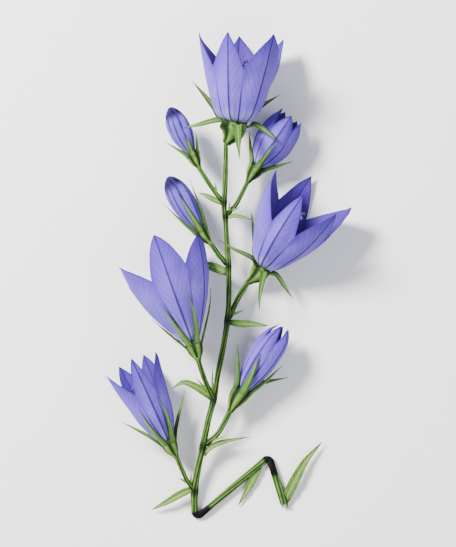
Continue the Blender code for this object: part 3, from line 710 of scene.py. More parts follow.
upperRightFlower = dict(
    node="upper_right_flower", base=(7.68, 27.6), height=5.1, heading=55.9, tilt=2, seed=3.0,
    bell=((0, 1.3), (0.9, 2.2), (4.0, 4.0), (7.5, 4.8), (11.5, 4.4), (15.0, 3.0)),
    lobes=((0, 14.7), (72, 14.5), (144, 14.4), (216, 14.6), (288, 15.0)),
    notches=((36, 12.0), (108, 11.5), (180, 11.5), (252, 11.5), (324, 11.0)), lobePower=2.0,
    ovary=(5.08, 23.45), ovaryRadius=1.9, stalk=((-0.4, 14.8), (0.8, 16.25), (2.35, 18.15)),
    stalkRadius=0.55, bracteoles=((0.12, (0.6, 18.7)), (0.16, (3.2, 17.1))),
    sepals=((5, 4, 0, 9.9), (77, 84, 38, 7.8), (149, 150, 0, 8.0), (221, 215, 0, 8.0),
            (293, 274, 37, 7.8)))
leftBud = dict(
    node="left_bud", base=(-6.9, 11.65), height=7.3, heading=121.3, tilt=0, roll=-36, seed=4.0,
    bud=((0, 1.0), (1.2, 1.6), (5.0, 2.6), (8.5, 2.95), (12.0, 2.6), (14.2, 1.6), (15.0, 0.8)),
    ovary=(-4.03, 7.83), ovaryRadius=1.6, stalk=((0.3, 2.4), (-2.0, 5.0)), stalkRadius=0.6,
    bracteoles=((0.2, (-3.2, 5.2)),),
    sepals=((0, 0, 0, 11.7), (72, 77, 10, 12.7), (144, 145, 0, 9.0), (216, 215, 0, 9.0),
            (288, 278, 14, 10.7)))
rightFlower = dict(
    node="right_flower", base=(9.0, 2.46), heading=56.0, tilt=16, rest=True, seed=5.0,
    bell=((0, 1.8), (0.9, 3.3), (5.0, 5.9), (9.5, 8.0), (15.0, 9.4), (19.0, 10.0), (23.0, 10.4)),
    lobes=((-9.5, 23.5), (47, 23.1), (109, 24.0), (194, 23.2), (270, 22.2)),
    notches=((15.5, 13.3), (77, 13.4), (164, 13.7), (220, 14.5), (330, 13.0)), lobePower=1.2,
    ovary=(5.18, -1.7), ovaryRadius=2.2, stalk=((0.2, -11.2), (1.5, -8.1), (3.18, -4.85)), stalkRadius=0.65,
    bracteoles=((0.12, (4.6, -8.5)),),
    sepals=((14, 36, 149, 11.3), (84, 90, 114, 9.4), (162, 125, 0, 8.0), (238, 256, 38, 12.5),
            (306, 290, 93, 11.7)))
leftFlower = dict(
    node="left_flower", base=(-8.55, -16.7), heading=108.8, tilt=-9, rest=True, seed=6.0,
    bell=((0, 1.3), (0.9, 2.2), (4.0, 4.1), (8.4, 6.65), (12.2, 8.4), (16.2, 9.6), (20.3, 10.5),
          (25.7, 11.3)),
    lobes=((-2, 26.6), (57, 24.1), (130, 24.0), (183, 23.8), (270, 23.7)),
    notches=((28, 18.0), (96, 16.5), (158, 16.5), (207, 16.2), (331, 16.5)), lobePower=1.5,
    ovary=(-7.08, -21.3), ovaryRadius=1.9, stalk=((-3.2, -31.4), (-4.2, -29.2), (-5.58, -26.1)),
    stalkRadius=0.6, bracteoles=((0.16, (-8.2, -25.2)), (0.12, (-3.7, -23.1))),
    sepals=((33, 19, 0, 14.7), (100, 76, 0, 14.7), (185, 185, 0, 9.0), (257, 260, 0, 12.5),
            (329, 330, 0, 14.4)))
lowerRightBud = dict(
    node="lower_right_bud", base=(3.85, -28.5), height=5.6, heading=56.3, tilt=3, seed=7.0,
    bell=((0, 1.2), (1.0, 1.9), (4.0, 2.9), (8.5, 3.7), (13.0, 3.75), (16.6, 2.8), (18.6, 1.5)),
    lobes=((-26, 18.5), (46, 18.6), (118, 18.4), (190, 18.4), (262, 18.3)),
    notches=((10, 14.5), (82, 14.3), (154, 14.3), (226, 14.3), (298, 14.3)), lobePower=2.2,
    ovary=(0.65, -34.1), ovaryRadius=2.2, stalk=((-6.0, -42.8), (-2.68, -39.9), (-0.83, -37.0)),
    stalkRadius=0.65, bracteoles=((0.12, (-0.7, -40.2)),),
    sepals=((10, 339, 0, 11.3), (82, 80, 13, 11.6), (154, 107, 36, 11.2), (226, 226, 0, 9.0),
            (298, 274, 31, 10.9)))
lowerLeftFlower = dict(
    node="lower_left_flower", base=(-14.88, -41.35), heading=115.1, tilt=0, rest=True, seed=8.0,
    bell=((0, 1.3), (0.9, 2.0), (6.0, 4.2), (11.0, 5.2), (16.0, 6.1), (22.0, 7.0)),
    lobes=((5, 22.3), (70, 21.1), (150, 21.7), (208, 21.6), (270, 21.0)),
    notches=((27, 13.9), (112, 14.0), (180, 15.5), (240, 14.0), (336, 14.0)),
    ovary=(-12.65, -45.5), ovaryRadius=1.8, stalk=((-8.2, -54.0), (-10.1, -51.5), (-11.35, -48.8)),
    stalkRadius=0.55, bracteoles=((0.22, (-12.3, -50.7)), (0.15, (-9.1, -49.6))),
    sepals=((36, 28, 0, 13.2), (108, 92, 38, 12.5), (180, 180, 0, 9.0), (252, 266, 36, 12.0),
            (324, 328, 0, 12.3)))
blooms = (topFlower, upperLeftBud, upperRightFlower, leftBud, rightFlower, leftFlower, lowerRightBud,
          lowerLeftFlower)
openBlooms = (topFlower, rightFlower, leftFlower, lowerLeftFlower)

halfLobe = 36.0     # degrees, for five equal lobes
toLeft = 270     # the azimuth that looks to the left
# The flute is how far a rib stands out. The nearest edge is looked for up to edgeReach columns away
bellShape = dict(columns=13, rows=46, lobePower=1.35, flute=0.035, tipPoint=0.35, tipWidth=0.08, edgeReach=9)
solidShape = dict(columns=3, rows=(0.0, 0.05, 0.14, 0.28, 0.44, 0.62, 0.81, 1.0))     # the CAD bells' grid
# The edges of a bud's lobes show from edgeStart of its length on. Before it they count as edgeOff away
budShape = dict(columns=90, rows=44, twist=20.0, pleat=0.07, valley=0.03, pleatPower=0.7, capRows=8,
                capLength=1.0, capStart=45.0, capEnd=88.0, edgeStart=0.25, edgeFull=0.6, edgeOff=2.0)


class Bloom:
    def __init__(self, facts):
        self.facts = facts
        self.name = facts["node"]
        heading = math.radians(facts["heading"])
        tilt = math.radians(facts["tilt"])
        flat = Vector((math.cos(heading), math.sin(heading), 0))
        self.along = flat * math.cos(tilt) + high * math.sin(tilt)
        self.up = high * math.cos(tilt) - flat * math.sin(tilt)
        self.right = self.along.cross(self.up)
        self.base = Vector((*facts["base"], facts.get("height", 0.0)))
        self.outline = facts.get("bell") or facts["bud"]
        if facts.get("rest"):
            # the CAD solid lies on the table, so its own grid sets the height
            lowest = min(self.place(row * reach, self.radius(row * reach, rib), azimuth).z
                         for azimuth, reach, rib, across, half in self.columns(solidShape["columns"], 0.0)
                         for row in solidShape["rows"])
            self.base.z = -lowest

    def outward(self, azimuth):
        angle = math.radians(azimuth)
        return self.up * math.cos(angle) + self.right * math.sin(angle)

    def place(self, distance, radius, azimuth):
        return self.base + self.along * distance + self.outward(azimuth) * radius

    def radius(self, distance, rib=0.0):
        return smoothValue(self.outline, distance) * (1 + bellShape["flute"] * rib)

    # Azimuth, reach, how much of a rib it is (1 to -1), place across the lobe (-1 to 1), half lobe's angle
    def columns(self, half, tipPoint):
        found = []
        lobes = self.facts["lobes"]
        power = self.facts.get("lobePower", bellShape["lobePower"])
        for k, (tip, reach) in enumerate(lobes):
            notch, depth = self.facts["notches"][k]
            nextTip, nextReach = lobes[(k + 1) % len(lobes)]
            for start, turn, far, sign in ((tip, (notch - tip) % 360, reach, 1),
                                           (notch, (nextTip - notch) % 360, nextReach, -1)):
                for i in range(half):
                    share = i / half if sign > 0 else 1 - i / half
                    edge = far - (far - depth) * share ** power
                    edge += tipPoint * math.exp(-(share / bellShape["tipWidth"]) ** 2)
                    found.append((start + turn * i / half, edge, math.cos(math.pi * share), sign * share,
                                  math.radians(turn)))
        return found

    def ovaryEnd(self):
        flat = Vector((*self.facts["ovary"], 0)) - Vector((self.base.x, self.base.y, 0))
        drop = math.tan(math.radians(self.facts["tilt"])) * flat.length
        return Vector((*self.facts["ovary"], self.base.z - drop))


# A sheet of points in rows and columns, closed round the axis
def addSheet(guide, rows, columns):
    for row in range(rows - 1):
        for k in range(columns):
            a = row * columns + k
            b = row * columns + (k + 1) % columns
            guide.faces.append((a, b, b + columns, a + columns))


# A point as if the bloom's axis were Z
def upright(distance, radius, azimuth):
    angle = math.radians(azimuth)
    return Vector((radius * math.cos(angle), radius * math.sin(angle), distance))


def bellGuide(bloom):
    guide = Guide()
    shape = bellShape
    columns = bloom.columns(shape["columns"], shape["tipPoint"])
    steps = range(-shape["edgeReach"], shape["edgeReach"] + 1)
    rim = [upright(reach, bloom.radius(reach, rib), azimuth) for azimuth, reach, rib, across, half in columns]
    for share in sharesOf(range(shape["rows"])):
        for k, (azimuth, reach, rib, across, half) in enumerate(columns):
            distance = share * reach
            radius = bloom.radius(distance, rib)
            spot = upright(distance, radius, azimuth)
            guide.addPoint(
                bloom.place(distance, radius, azimuth), azimuth=math.radians(azimuth), distance=distance,
                radius=radius, across=across, share=share, midribMm=abs(across) * half * radius,
                notchMm=(1 - abs(across)) * half * radius,
                edgeMm=min((spot - rim[(k + step) % len(rim)]).length for step in steps))
    addSheet(guide, shape["rows"], len(columns))
    return guide


def budGuide(bloom):
    guide = Guide()
    shape = budShape
    length = bloom.outline[-1][0]
    half = math.radians(halfLobe)
    start = math.radians(shape["capStart"])
    end = math.radians(shape["capEnd"])
    total = shape["rows"] + shape["capRows"]
    for row in range(total + 1):
        share = min(1.0, row / shape["rows"])
        cap = start + max(0, row - shape["rows"]) / shape["capRows"] * (end - start)
        distance = length * share + shape["capLength"] * (math.sin(cap) - math.sin(start))
        radius = smoothValue(bloom.outline, length * share) * math.cos(cap) / math.cos(start)
        pleat = shape["pleat"] * math.sin(math.pi * share) + shape["valley"]
        edge = shape["edgeOff"] * (1 - smoothStep(shape["edgeStart"], shape["edgeFull"], share))
        for k in range(shape["columns"]):
            turn = 360 * k / shape["columns"]
            across = ((turn / halfLobe + 1) % 2) - 1
            rise = math.cos(math.radians(across * 90)) ** shape["pleatPower"] if abs(across) < 1 else 0.0
            azimuth = bloom.facts["roll"] + turn + shape["twist"] * share ** 2
            here = radius * (1 + pleat * (2 * rise - 1))
            notch = (1 - abs(across)) * half * radius
            guide.addPoint(
                bloom.place(distance, here, azimuth), azimuth=math.radians(azimuth), distance=distance,
                radius=here, across=across, share=share, midribMm=abs(across) * half * radius,
                notchMm=notch, edgeMm=notch + edge)
    addSheet(guide, total + 1, shape["columns"])
    return guide


# A part of a bloom, grown from its guide by one of the trees
def growPart(bloom, part, guide, tree, surface, **values):
    return grow(bloom.name + "_" + part, guide.mesh(part), trees[tree], surface=surfaces[surface], **values)


bellPetals = dict(midribHeight=0.16, midribWidth=0.38, edgeCurl=0.45, ripple=0.28, rippleSize=0.22, wall=0.3)
narrowPetals = dict(bellPetals, edgeCurl=-0.35, ripple=0.16)     # lobes that still lean inwards
budPetals = dict(bellPetals, midribHeight=0.05, edgeCurl=0.0, ripple=0.08)


def makeCorolla(bloom):
    if "bud" in bloom.facts:
        guide, surface, values = budGuide(bloom), "budPetal", budPetals
    else:
        guide, surface = bellGuide(bloom), "openPetal"
        values = bellPetals if bloom.facts in openBlooms else narrowPetals
    piece = growPart(bloom, "petals", guide, "petals", surface, base=bloom.base - middle, axis=bloom.along,
                     upperSide=bloom.up, rightSide=bloom.right, seed=bloom.facts["seed"], **values)
    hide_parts(bloom.name + "_corolla")
    return piece


# Calyx: the ribbed ovary and five narrow sepals. The ovary's outline is in shares of its rim's radius, from
# the top to the stalk
ovaryShape = dict(outline=(0.80, 1.02, 1.08, 1.04, 0.98, 0.88, 0.74, 0.56, 0.42, 0.34), top=0.25, bend=0.45,
                  steps=12, joint=0.7, jointTop=0.25, jointFoot=0.8)
ovaryTube = dict(sides=60, ribs=5, ribDepth=0.085, unevenness=0.03, unevenSize=0.6)
# A sepal's full width is per radius of the ovary's rim. Its turn is how far its face has turned up or down at
# the tip, if it is spread by fullTurn degrees or more. It keeps wallClear off the bell
sepalShape = dict(
    fullWidth=1.0, rootWidth=0.75, swell=0.3, swellEnd=0.15, taperStart=0.1, taperPower=1.15, tipWidth=0.14,
    steps=6, fineSteps=5, rootDepth=1.1, rootRadius=0.6, startDepth=0.75, startOut=0.05, swing=1.3, turn=0.7,
    fullTurn=30, wallClear=0.42, lookAhead=0.35, firstLean=0.55, leanSteps=3, steepest=0.8)
sepalBlade = dict(thickness=0.45, channel=-0.16, midrib=0.12, edgeWave=0.03, waveLength=4.0)


# The line that a sepal's middle follows, up beside the bell or bent away from it, and where its face looks
def sepalLine(bloom, rootAzimuth, tipAzimuth, spread, length):
    shape = sepalShape

    def clearRadius(distance):
        return bloom.radius(distance + shape["lookAhead"], 1.0) + shape["wallClear"]

    rim = bloom.facts["ovaryRadius"]
    turn = (tipAzimuth - rootAzimuth + 180) % 360 - 180
    lean = math.radians(spread)
    stride = length / shape["steps"]
    turned = shape["turn"] * min(1.0, spread / shape["fullTurn"])
    line = [bloom.place(-shape["rootDepth"], rim * shape["rootRadius"], rootAzimuth)]
    faces = [bloom.outward(rootAzimuth)]
    distance = -shape["startDepth"]
    radius = rim + shape["startOut"]
    for k in range(shape["steps"] + 1):
        share = k / shape["steps"]
        azimuth = rootAzimuth + turn * share ** shape["swing"]
        if k:
            radius = max(radius, clearRadius(distance))
        line.append(bloom.place(distance, radius, azimuth))
        face = bloom.outward(azimuth) * math.cos(lean) - bloom.along * math.sin(lean)
        faces.append(face.lerp(high if face.z >= 0 else -high, turned * math.sqrt(share)))
        angle = lean * min(1.0, shape["firstLean"] + k / shape["leanSteps"])
        ahead = math.cos(angle) * stride
        climb = clearRadius(distance + ahead) - radius
        if not lean and climb > 0:
            climb = min(climb, stride * shape["steepest"])
            ahead = math.sqrt(stride * stride - climb * climb)
        distance += ahead
        radius += math.sin(angle) * stride
    return smoothLine(line, shape["fineSteps"]), smoothLine(faces, shape["fineSteps"])


def sepalWidth(share, full):
    shape = sepalShape
    swollen = shape["rootWidth"] + shape["swell"] * smoothStep(0.0, shape["swellEnd"], share)
    past = max(0.0, (share - shape["taperStart"]) / (1 - shape["taperStart"]))
    taper = (shape["rootWidth"] + shape["swell"]) * past ** shape["taperPower"]
    return max(shape["tipWidth"], full * (swollen - taper))


# A blade's guide line. Its width comes from a function of the share of its length and its full width, and its
# face looks up unless the directions are given
def addBlade(guide, line, width, full, faces=None):
    faces = faces or [high] * len(line)
    sides = []
    tops = []
    for direction, face in zip(directions(line), faces):
        side = direction.cross(face).normalized()
        sides.append(side)
        tops.append(side.cross(direction).normalized())
    shares = sharesOf(line)
    guide.addLine(line, side=sides, face=tops, width=[width(share, full) for share in shares], share=shares)


# A tube's guide line: its radius at each point, and the direction that its first rib looks in
def addTube(guide, line, radii, toRib, twist=0.0, flat=None, stain=None, joint=None):
    lengths = lengthsAlong(line)
    sides = []
    for direction, length in zip(directions(line), lengths):
        side = (toRib - direction * toRib.dot(direction)).normalized()
        sides.append(Matrix.Rotation(math.radians(twist * length), 3, direction) @ side)
    none = [0.0] * len(line)
    guide.addLine(line, side=sides, girth=radii, flat=flat or none, stain=stain or none, joint=joint or none)


def makeCalyx(bloom):
    shape = ovaryShape
    rim = bloom.facts["ovaryRadius"]
    shift = bloom.facts.get("ovaryShift", 0.0)
    top = bloom.place(shape["top"], shift, toLeft)
    end = bloom.ovaryEnd()
    bend = bloom.place(-shape["bend"] * (top - end).length, shift, toLeft)
    line = smoothLine((top, bend, end), shape["steps"])
    outline = list(zip(sharesOf(shape["outline"]), shape["outline"]))
    radii = [rim * smoothValue(outline, share) for share in sharesOf(line)]
    # painted shade near the ovary's top and its foot, where it meets the bell and the stalk
    joint = [shape["joint"] * (smoothStep(shape["jointTop"], 0.0, share)
                               + smoothStep(shape["jointFoot"], 1.0, share)) for share in sharesOf(line)]
    guide = Guide()
    addTube(guide, line, radii, bloom.outward(bloom.facts["sepals"][0][0]), joint=joint)
    ovary = growPart(bloom, "ovary", guide, "tube", "ovary", **ovaryTube)
    guide = Guide()
    for root, tip, spread, length in bloom.facts["sepals"]:
        line, faces = sepalLine(bloom, root, tip, spread, length)
        addBlade(guide, line, sepalWidth, sepalShape["fullWidth"] * rim, faces)
    sepals = growPart(bloom, "sepals", guide, "blade", "sepal", **sepalBlade)
    for piece in (ovary, sepals):
        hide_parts(bloom.name + "_calyx")
    return [ovary, sepals]


# Inside an open bell: the nectar disc, five stamens with broad feet, and the style with its three arms. The
# disc's levels are its underside, shoulder and top above its base
discShape = dict(base=1.6, levels=(-0.4, 0.3, 0.6), wallClear=0.8, leastRadius=1.15, side=0.98, dome=0.45)
discTube = dict(sides=40, ribs=5, ribDepth=0.05)
# A thread's steps are (rise, distance out). The foot's are counted from where it stands on the disc, and the
# top's distance out from the axis
stamenShape = dict(
    footOut=0.8, footWidth=1.5, threadWidth=0.34, broadEnd=0.25, threadStart=0.6, root=0.75, rootEnd=0.2,
    foot=((0.0, 0.0), (1.0, 0.35), (2.2, 0.15)), top=((3.6, 1.15), (4.6, 1.05)), leaning=0.12, leanStep=2.1,
    antherStart=4.4, antherOut=1.05, antherLength=3.2, antherBend=0.5, antherSwing=5.0, antherTwist=14.0,
    antherRadius=0.3, antherEnd=0.25, antherPower=0.6)
filamentBlade = dict(thickness=0.22, channel=-0.1, midrib=0.03, edgeWave=0.04, waveLength=1.5)
antherTube = dict(sides=20, ribs=4, ribDepth=0.2, unevenness=0.08, unevenSize=1.6)
# The style's reach is a share of the top lobe's. An arm's steps are (distance past its top, distance out)
styleShape = dict(
    reach=0.62, steps=24, radii=((0, 0.5), (0.3, 0.38), (0.6, 0.38), (0.8, 0.5), (1, 0.55)), firstAzimuth=30,
    arm=((-0.9, 0.0), (0.2, 0.45), (1.2, 0.95), (1.8, 1.7), (1.85, 2.4), (1.45, 2.8)), armRadius=0.34,
    armTaper=0.45, hairStart=0.6, hairFull=0.85)
styleTube = dict(sides=24, ribs=3, ribDepth=0.05, unevenness=0.05, unevenSize=1.0)
stigmaHairs = dict(density=26.0, length=0.34, thickness=0.035)


def filamentWidth(share, full):
    shape = stamenShape
    broad = 1 - smoothStep(shape["broadEnd"], shape["threadStart"], share)
    broad *= shape["root"] + (1 - shape["root"]) * smoothStep(0.0, shape["rootEnd"], share)
    return shape["threadWidth"] + (full - shape["threadWidth"]) * broad


def antherRadius(share):
    shape = stamenShape
    swell = math.sin(math.pi * (0.04 + 0.92 * share)) ** shape["antherPower"]
    return shape["antherRadius"] * (shape["antherEnd"] + (1 - shape["antherEnd"]) * swell)


def makeStamens(bloom):
    base = discShape["base"]
    rim = max(bloom.radius(base, -1.0) - discShape["wallClear"], discShape["leastRadius"])
    dome = smoothLine([bloom.place(base + level, 0, 0) for level in discShape["levels"]], 5)
    radii = [rim * (discShape["side"] - discShape["dome"] * share ** 3) for share in sharesOf(dome)]
    disc = Guide()
    addTube(disc, dome, radii, bloom.outward(halfLobe))
    shape = stamenShape
    threads = Guide()
    anthers = Guide()
    foot = base + discShape["levels"][1]
    footOut = (shape["footOut"] + rim) / 2
    for k in range(5):
        azimuth = halfLobe + 2 * halfLobe * k
        lean = shape["leaning"] * math.sin(shape["leanStep"] * k + bloom.facts["seed"])
        path = [(rise, footOut + out) for rise, out in shape["foot"]]
        path += [(rise, out + lean * i) for i, (rise, out) in enumerate(shape["top"])]
        line = smoothLine([bloom.place(foot + rise, out, azimuth) for rise, out in path], 5)
        addBlade(threads, line, filamentWidth, shape["footWidth"], [bloom.outward(azimuth)] * len(line))
        start = foot + shape["antherStart"]
        path = [(start + shape["antherLength"] * share,
                 shape["antherOut"] + lean * (1 + share) + shape["antherBend"] * share * share)
                for share in (0, 0.33, 0.66, 1)]
        swing = shape["antherSwing"] * lean * k
        line = smoothLine([bloom.place(distance, out, azimuth + swing) for distance, out in path], 5)
        addTube(anthers, line, [antherRadius(share) for share in sharesOf(line)], bloom.outward(azimuth),
                twist=shape["antherTwist"])
    pieces = [
        growPart(bloom, "disc", disc, "tube", "disc", **discTube),
        growPart(bloom, "filaments", threads, "blade", "filament", **filamentBlade),
        growPart(bloom, "anthers", anthers, "tube", "anther", **antherTube)]
    for piece in pieces:
        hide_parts(bloom.name + "_stamens")
    return pieces


def makeStyle(bloom):
    shape = styleShape
    top = bloom.facts["lobes"][0][1] * shape["reach"]
    shares = sharesOf(range(shape["steps"] + 1))
    guide = Guide()
    addTube(guide, [bloom.place(top * share, 0, 0) for share in shares],
            [smoothValue(shape["radii"], share) for share in shares], bloom.outward(shape["firstAzimuth"]))
    hairy = [smoothStep(shape["hairStart"], shape["hairFull"], share) for share in shares]
    guide.addFields(dict(hairy=hairy))
    for k in range(3):
        azimuth = shape["firstAzimuth"] + 120 * k
        arm = smoothLine([bloom.place(top + past, out, azimuth) for past, out in shape["arm"]], 5)
        radii = [shape["armRadius"] * (1.0 - shape["armTaper"] * share ** 2) for share in sharesOf(arm)]
        addTube(guide, arm, radii, bloom.outward(azimuth))
        guide.addFields(dict(hairy=[1.0] * len(arm)))
    style = growPart(bloom, "pistil", guide, "tube", "style", **styleTube)
    skin = style.data.copy()
    skin.transform(Matrix.Scale(1 / millimetre, 4))
    hairs = grow(bloom.name + "_stigma_hairs", skin, trees["hairs"], seed=int(bloom.facts["seed"]),
                 surface=surfaces["stigma"], **stigmaHairs)
    for piece in (style, hairs):
        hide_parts(bloom.name + "_style")
    return [style, hairs]


pieces = []
grown = {facts["node"]: Bloom(facts) for facts in blooms}
for bloom in grown.values():
    pieces.append(makeCorolla(bloom))
    pieces += makeCalyx(bloom)
    if bloom.facts in openBlooms:
        pieces += makeStamens(bloom)
        pieces += makeStyle(bloom)
print("blooms ready:", len(grown), "with", len(pieces), "pieces")


# The stem's centre line from its top to the foot, with its radius. The foot is folded to and fro, with its
# corners rounded to the fold's radius
stemShape = dict(
    line=(((-0.33, 32.6, 9.6), 0.55), ((-0.5, 24.1, 8.4), 0.6), ((-0.8, 17.7, 7.3), 0.62),
          ((-0.5, 14.5, 6.8), 0.65), ((-0.2, 9.7, 6.2), 0.62), ((0.3, 2.4, 5.8), 0.65),
          ((0.4, -4.0, 5.7), 0.65), ((0.1, -10.4, 5.9), 0.7), ((-0.8, -16.7, 6.0), 0.65),
          ((-2.4, -24.8, 6.0), 0.68), ((-3.2, -30.2, 5.8), 0.72), ((-4.7, -35.9, 5.2), 0.7),
          ((-6.0, -42.3, 4.3), 0.78), ((-7.4, -48.7, 3.1), 0.78), ((-8.2, -53.5, 2.0), 0.85),
          ((-8.3, -56.5, 1.3), 0.8)),
    footCorners=((-8.2, -57.0, 1.2), (-8.15, -61.3, 0.85), (10.5, -45.6, 0.85), (14.3, -57.4, 1.0)),
    foldRadius=0.95, footRadius=0.78, footEndRadius=0.92,
    steps=7, foldSteps=14, footStep=0.5, inOvary=0.3, pressed=0.38, pressedLength=1.8, foldStain=(4.4, 4.9),
    stainStart=(-1.4, -0.7), stainFade=0.85, jointSwelling=0.16, jointLength=1.2, twist=3.0)
stemTube = dict(sides=48, ribs=6, ribDepth=0.075, unevenness=0.05, unevenSize=0.35)
# A stalk flares at its foot, where it joins the stem, and its end tapers inside it
stalkShape = dict(steps=8, inOvary=0.6, flare=0.35, flareLength=1.2, endWidth=0.45, endLength=1.2,
                  jointLength=2.1, twist=4.0)
stalkTube = dict(sides=32, ribs=5, ribDepth=0.09, unevenness=0.06, unevenSize=0.5)
# A bract's line is (x, y, height above the stem's middle) and a leaf's (x, y, z), each with its full width
bracts = {
    "upper_left_bract": (((-0.8, 17.9, 0), (-3.4, 19.05, 0.3), (-5.4, 20.1, 0.3), (-7.2, 20.7, 0)), 1.4),
    "upper_right_bract": (((-0.5, 14.4, 0), (1.7, 15.0, 0.5), (4.0, 14.6, 0.6), (6.4, 13.9, 0.4)), 1.0),
    "left_bract": (((0.3, 0.6, 0), (-2.3, 1.7, -0.3), (-4.8, 2.6, -1.3), (-7.0, 3.0, -2.3)), 2.3),
    "right_bract": (((0.1, -11.6, 0), (3.2, -12.0, 0.3), (6.5, -12.1, 0.3), (10.3, -12.6, -0.4)), 1.8),
    "left_flower_bract": (((-3.2, -31.2, 0), (-5.6, -29.3, 0.9), (-8.0, -27.7, 1.5), (-11.0, -26.7, 1.6),
                           (-13.7, -28.2, 0.8)), 1.9),
    "lower_right_bract": (((-5.9, -45.1, 0.4), (-4.6, -43.4, 0.5), (-2.4, -42.1, 0.5), (0.6, -41.3, 0.5),
                           (5.6, -40.5, 0.2)), 1.4),
    "lower_left_bract": (((-8.2, -53.3, 0), (-11.6, -54.8, 0.4), (-15.2, -56.9, 0), (-19.0, -58.9, -1.0)),
                         1.9),
}
footLeaves = {
    "foot_leaf": (((8.1, -47.6, 0.9), (6.9, -49.8, 0.9), (5.4, -53.2, 0.7), (2.75, -57.9, 0.5)), 2.3),
    "end_leaf": (((14.3, -57.2, 0.9), (15.6, -54.2, 1.3), (17.5, -50.4, 1.7), (20.0, -46.2, 1.5),
                  (23.9, -41.8, 1.0)), 2.5),
}
leafShape = dict(tipWidth=0.12, rootShare=0.12, power=0.8)
leafBlade = dict(thickness=0.34, channel=0.16, midrib=-0.1, edgeWave=0.05, waveLength=3.2)
bracteoleShape = dict(width=0.95, rootShare=0.7, growth=0.5, taperPower=1.4, tipWidth=0.1, rise=0.25,
                      bulge=0.15)
# The torn end's two points: (x, y, z) of the root and (x, y) of the tip
prongs = ((13.9, -56.9, 1.0, 13.85, -58.4), (14.8, -57.0, 1.0, 15.3, -58.5))
prongShape = dict(width=0.75, taperPower=0.7, tipWidth=0.08, arch=0.1)


# The height of the stem's centre line at a place along it
def stemHeight(y):
    line = [p for p, r in stemShape["line"]]
    for a, b in zip(line, line[1:]):
        if b[1] <= y <= a[1]:
            return a[2] + (b[2] - a[2]) * (a[1] - y) / (a[1] - b[1])
    return line[-1][2]


# The stem's line and its radius at each point
def stemLine():
    shape = stemShape
    top = grown["top_flower"].ovaryEnd()
    upper = [Vector(p) for p, r in shape["line"]]
    upper[0] = top - (upper[1] - top).normalized() * shape["inOvary"]
    line = smoothLine(upper, shape["steps"])
    known = [r for p, r in shape["line"]]
    radii = []
    for k in range(len(line)):
        share = k / shape["steps"]
        i = min(int(share), len(known) - 2)
        radii.append(known[i] + (known[i + 1] - known[i]) * (share - i))
    foot = []
    corners = roundedLine(shape["footCorners"], shape["foldRadius"], shape["foldSteps"])[1:]
    for a, b in zip([line[-1]] + corners, corners):
        parts = max(1, int((b - a).length / shape["footStep"]))
        foot += [a.lerp(b, (i + 1) / parts) for i in range(parts)]
    for share in sharesOf(foot):
        wider = max(0.0, share * 2 - 1)
        radii.append(shape["footRadius"] + (shape["footEndRadius"] - shape["footRadius"]) * wider)
    return line + foot, radii


def makeStem(jointPlaces):
    shape = stemShape
    line, radii = stemLine()
    lengths = lengthsAlong(line)
    flat = [0.0] * len(line)
    stain = [0.0] * len(line)
    for corner, reach in zip(shape["footCorners"][1:3], shape["foldStain"]):
        fold = min(range(len(line)), key=lambda k: (line[k] - Vector(corner)).length)
        for k, length in enumerate(lengths):
            past = length - lengths[fold]
            dark = smoothStep(*shape["stainStart"], past)
            dark *= smoothStep(reach, reach * shape["stainFade"], past)
            flat[k] = max(flat[k], shape["pressed"] * math.exp(-(past / shape["pressedLength"]) ** 2))
            stain[k] = max(stain[k], dark)
    # near each stalk's foot the stem swells, and its skin gets painted shade
    joint = []
    for k, point in enumerate(line):
        near = min((point - place).length for place in jointPlaces)
        joint.append(math.exp(-(near / shape["jointLength"]) ** 2))
        radii[k] *= 1 + shape["jointSwelling"] * joint[-1]
    guide = Guide()
    addTube(guide, line, radii, high, twist=shape["twist"], flat=flat, stain=stain, joint=joint)
    return grow("stem", guide.mesh("stem"), trees["tube"], surface=surfaces["stem"], **stemTube)


# A stalk rises or sinks evenly from inside the stem to inside the ovary
def stalkLine(bloom):
    end = bloom.ovaryEnd()
    flat = [Vector((*p, 0)) for p in bloom.facts["stalk"]] + [Vector((end.x, end.y, 0))]
    lengths = lengthsAlong(flat)
    low = stemHeight(flat[0].y)
    rise = (end.z - low) / lengths[-1]
    line = [Vector((p.x, p.y, low + rise * length)) for p, length in zip(flat, lengths)]
    line.append(line[-1] + (bloom.base - line[-1]).normalized() * stalkShape["inOvary"])
    return smoothLine(line, stalkShape["steps"])


def stalkRadius(full, length):
    shape = stalkShape
    flare = 1.0 + shape["flare"] * math.exp(-length / shape["flareLength"])
    taper = shape["endWidth"] + (1.0 - shape["endWidth"]) * smoothStep(0.0, shape["endLength"], length)
    return full * flare * taper


def leafWidth(share, full):
    shape = leafShape
    past = (shape["rootShare"] + (1 - shape["rootShare"]) * share) ** shape["power"]
    width = full * math.sin(math.pi * past) ** shape["power"] if share < 1 else 0.0
    return max(shape["tipWidth"], width)


def bracteoleWidth(share, full):
    shape = bracteoleShape
    width = full * (1 - share ** shape["taperPower"]) * (shape["rootShare"] + share * shape["growth"])
    return max(shape["tipWidth"], width)


def prongWidth(share, full):
    return full * (1 - share) ** prongShape["taperPower"] + prongShape["tipWidth"]


def addBracteole(leaves, root, tip):
    tip = Vector((*tip, root.z))
    tip.z += bracteoleShape["rise"] * (tip - root).length
    bulge = (root + tip) / 2 + high * bracteoleShape["bulge"]
    addBlade(leaves, smoothLine((root, bulge, tip), 8), bracteoleWidth, bracteoleShape["width"])


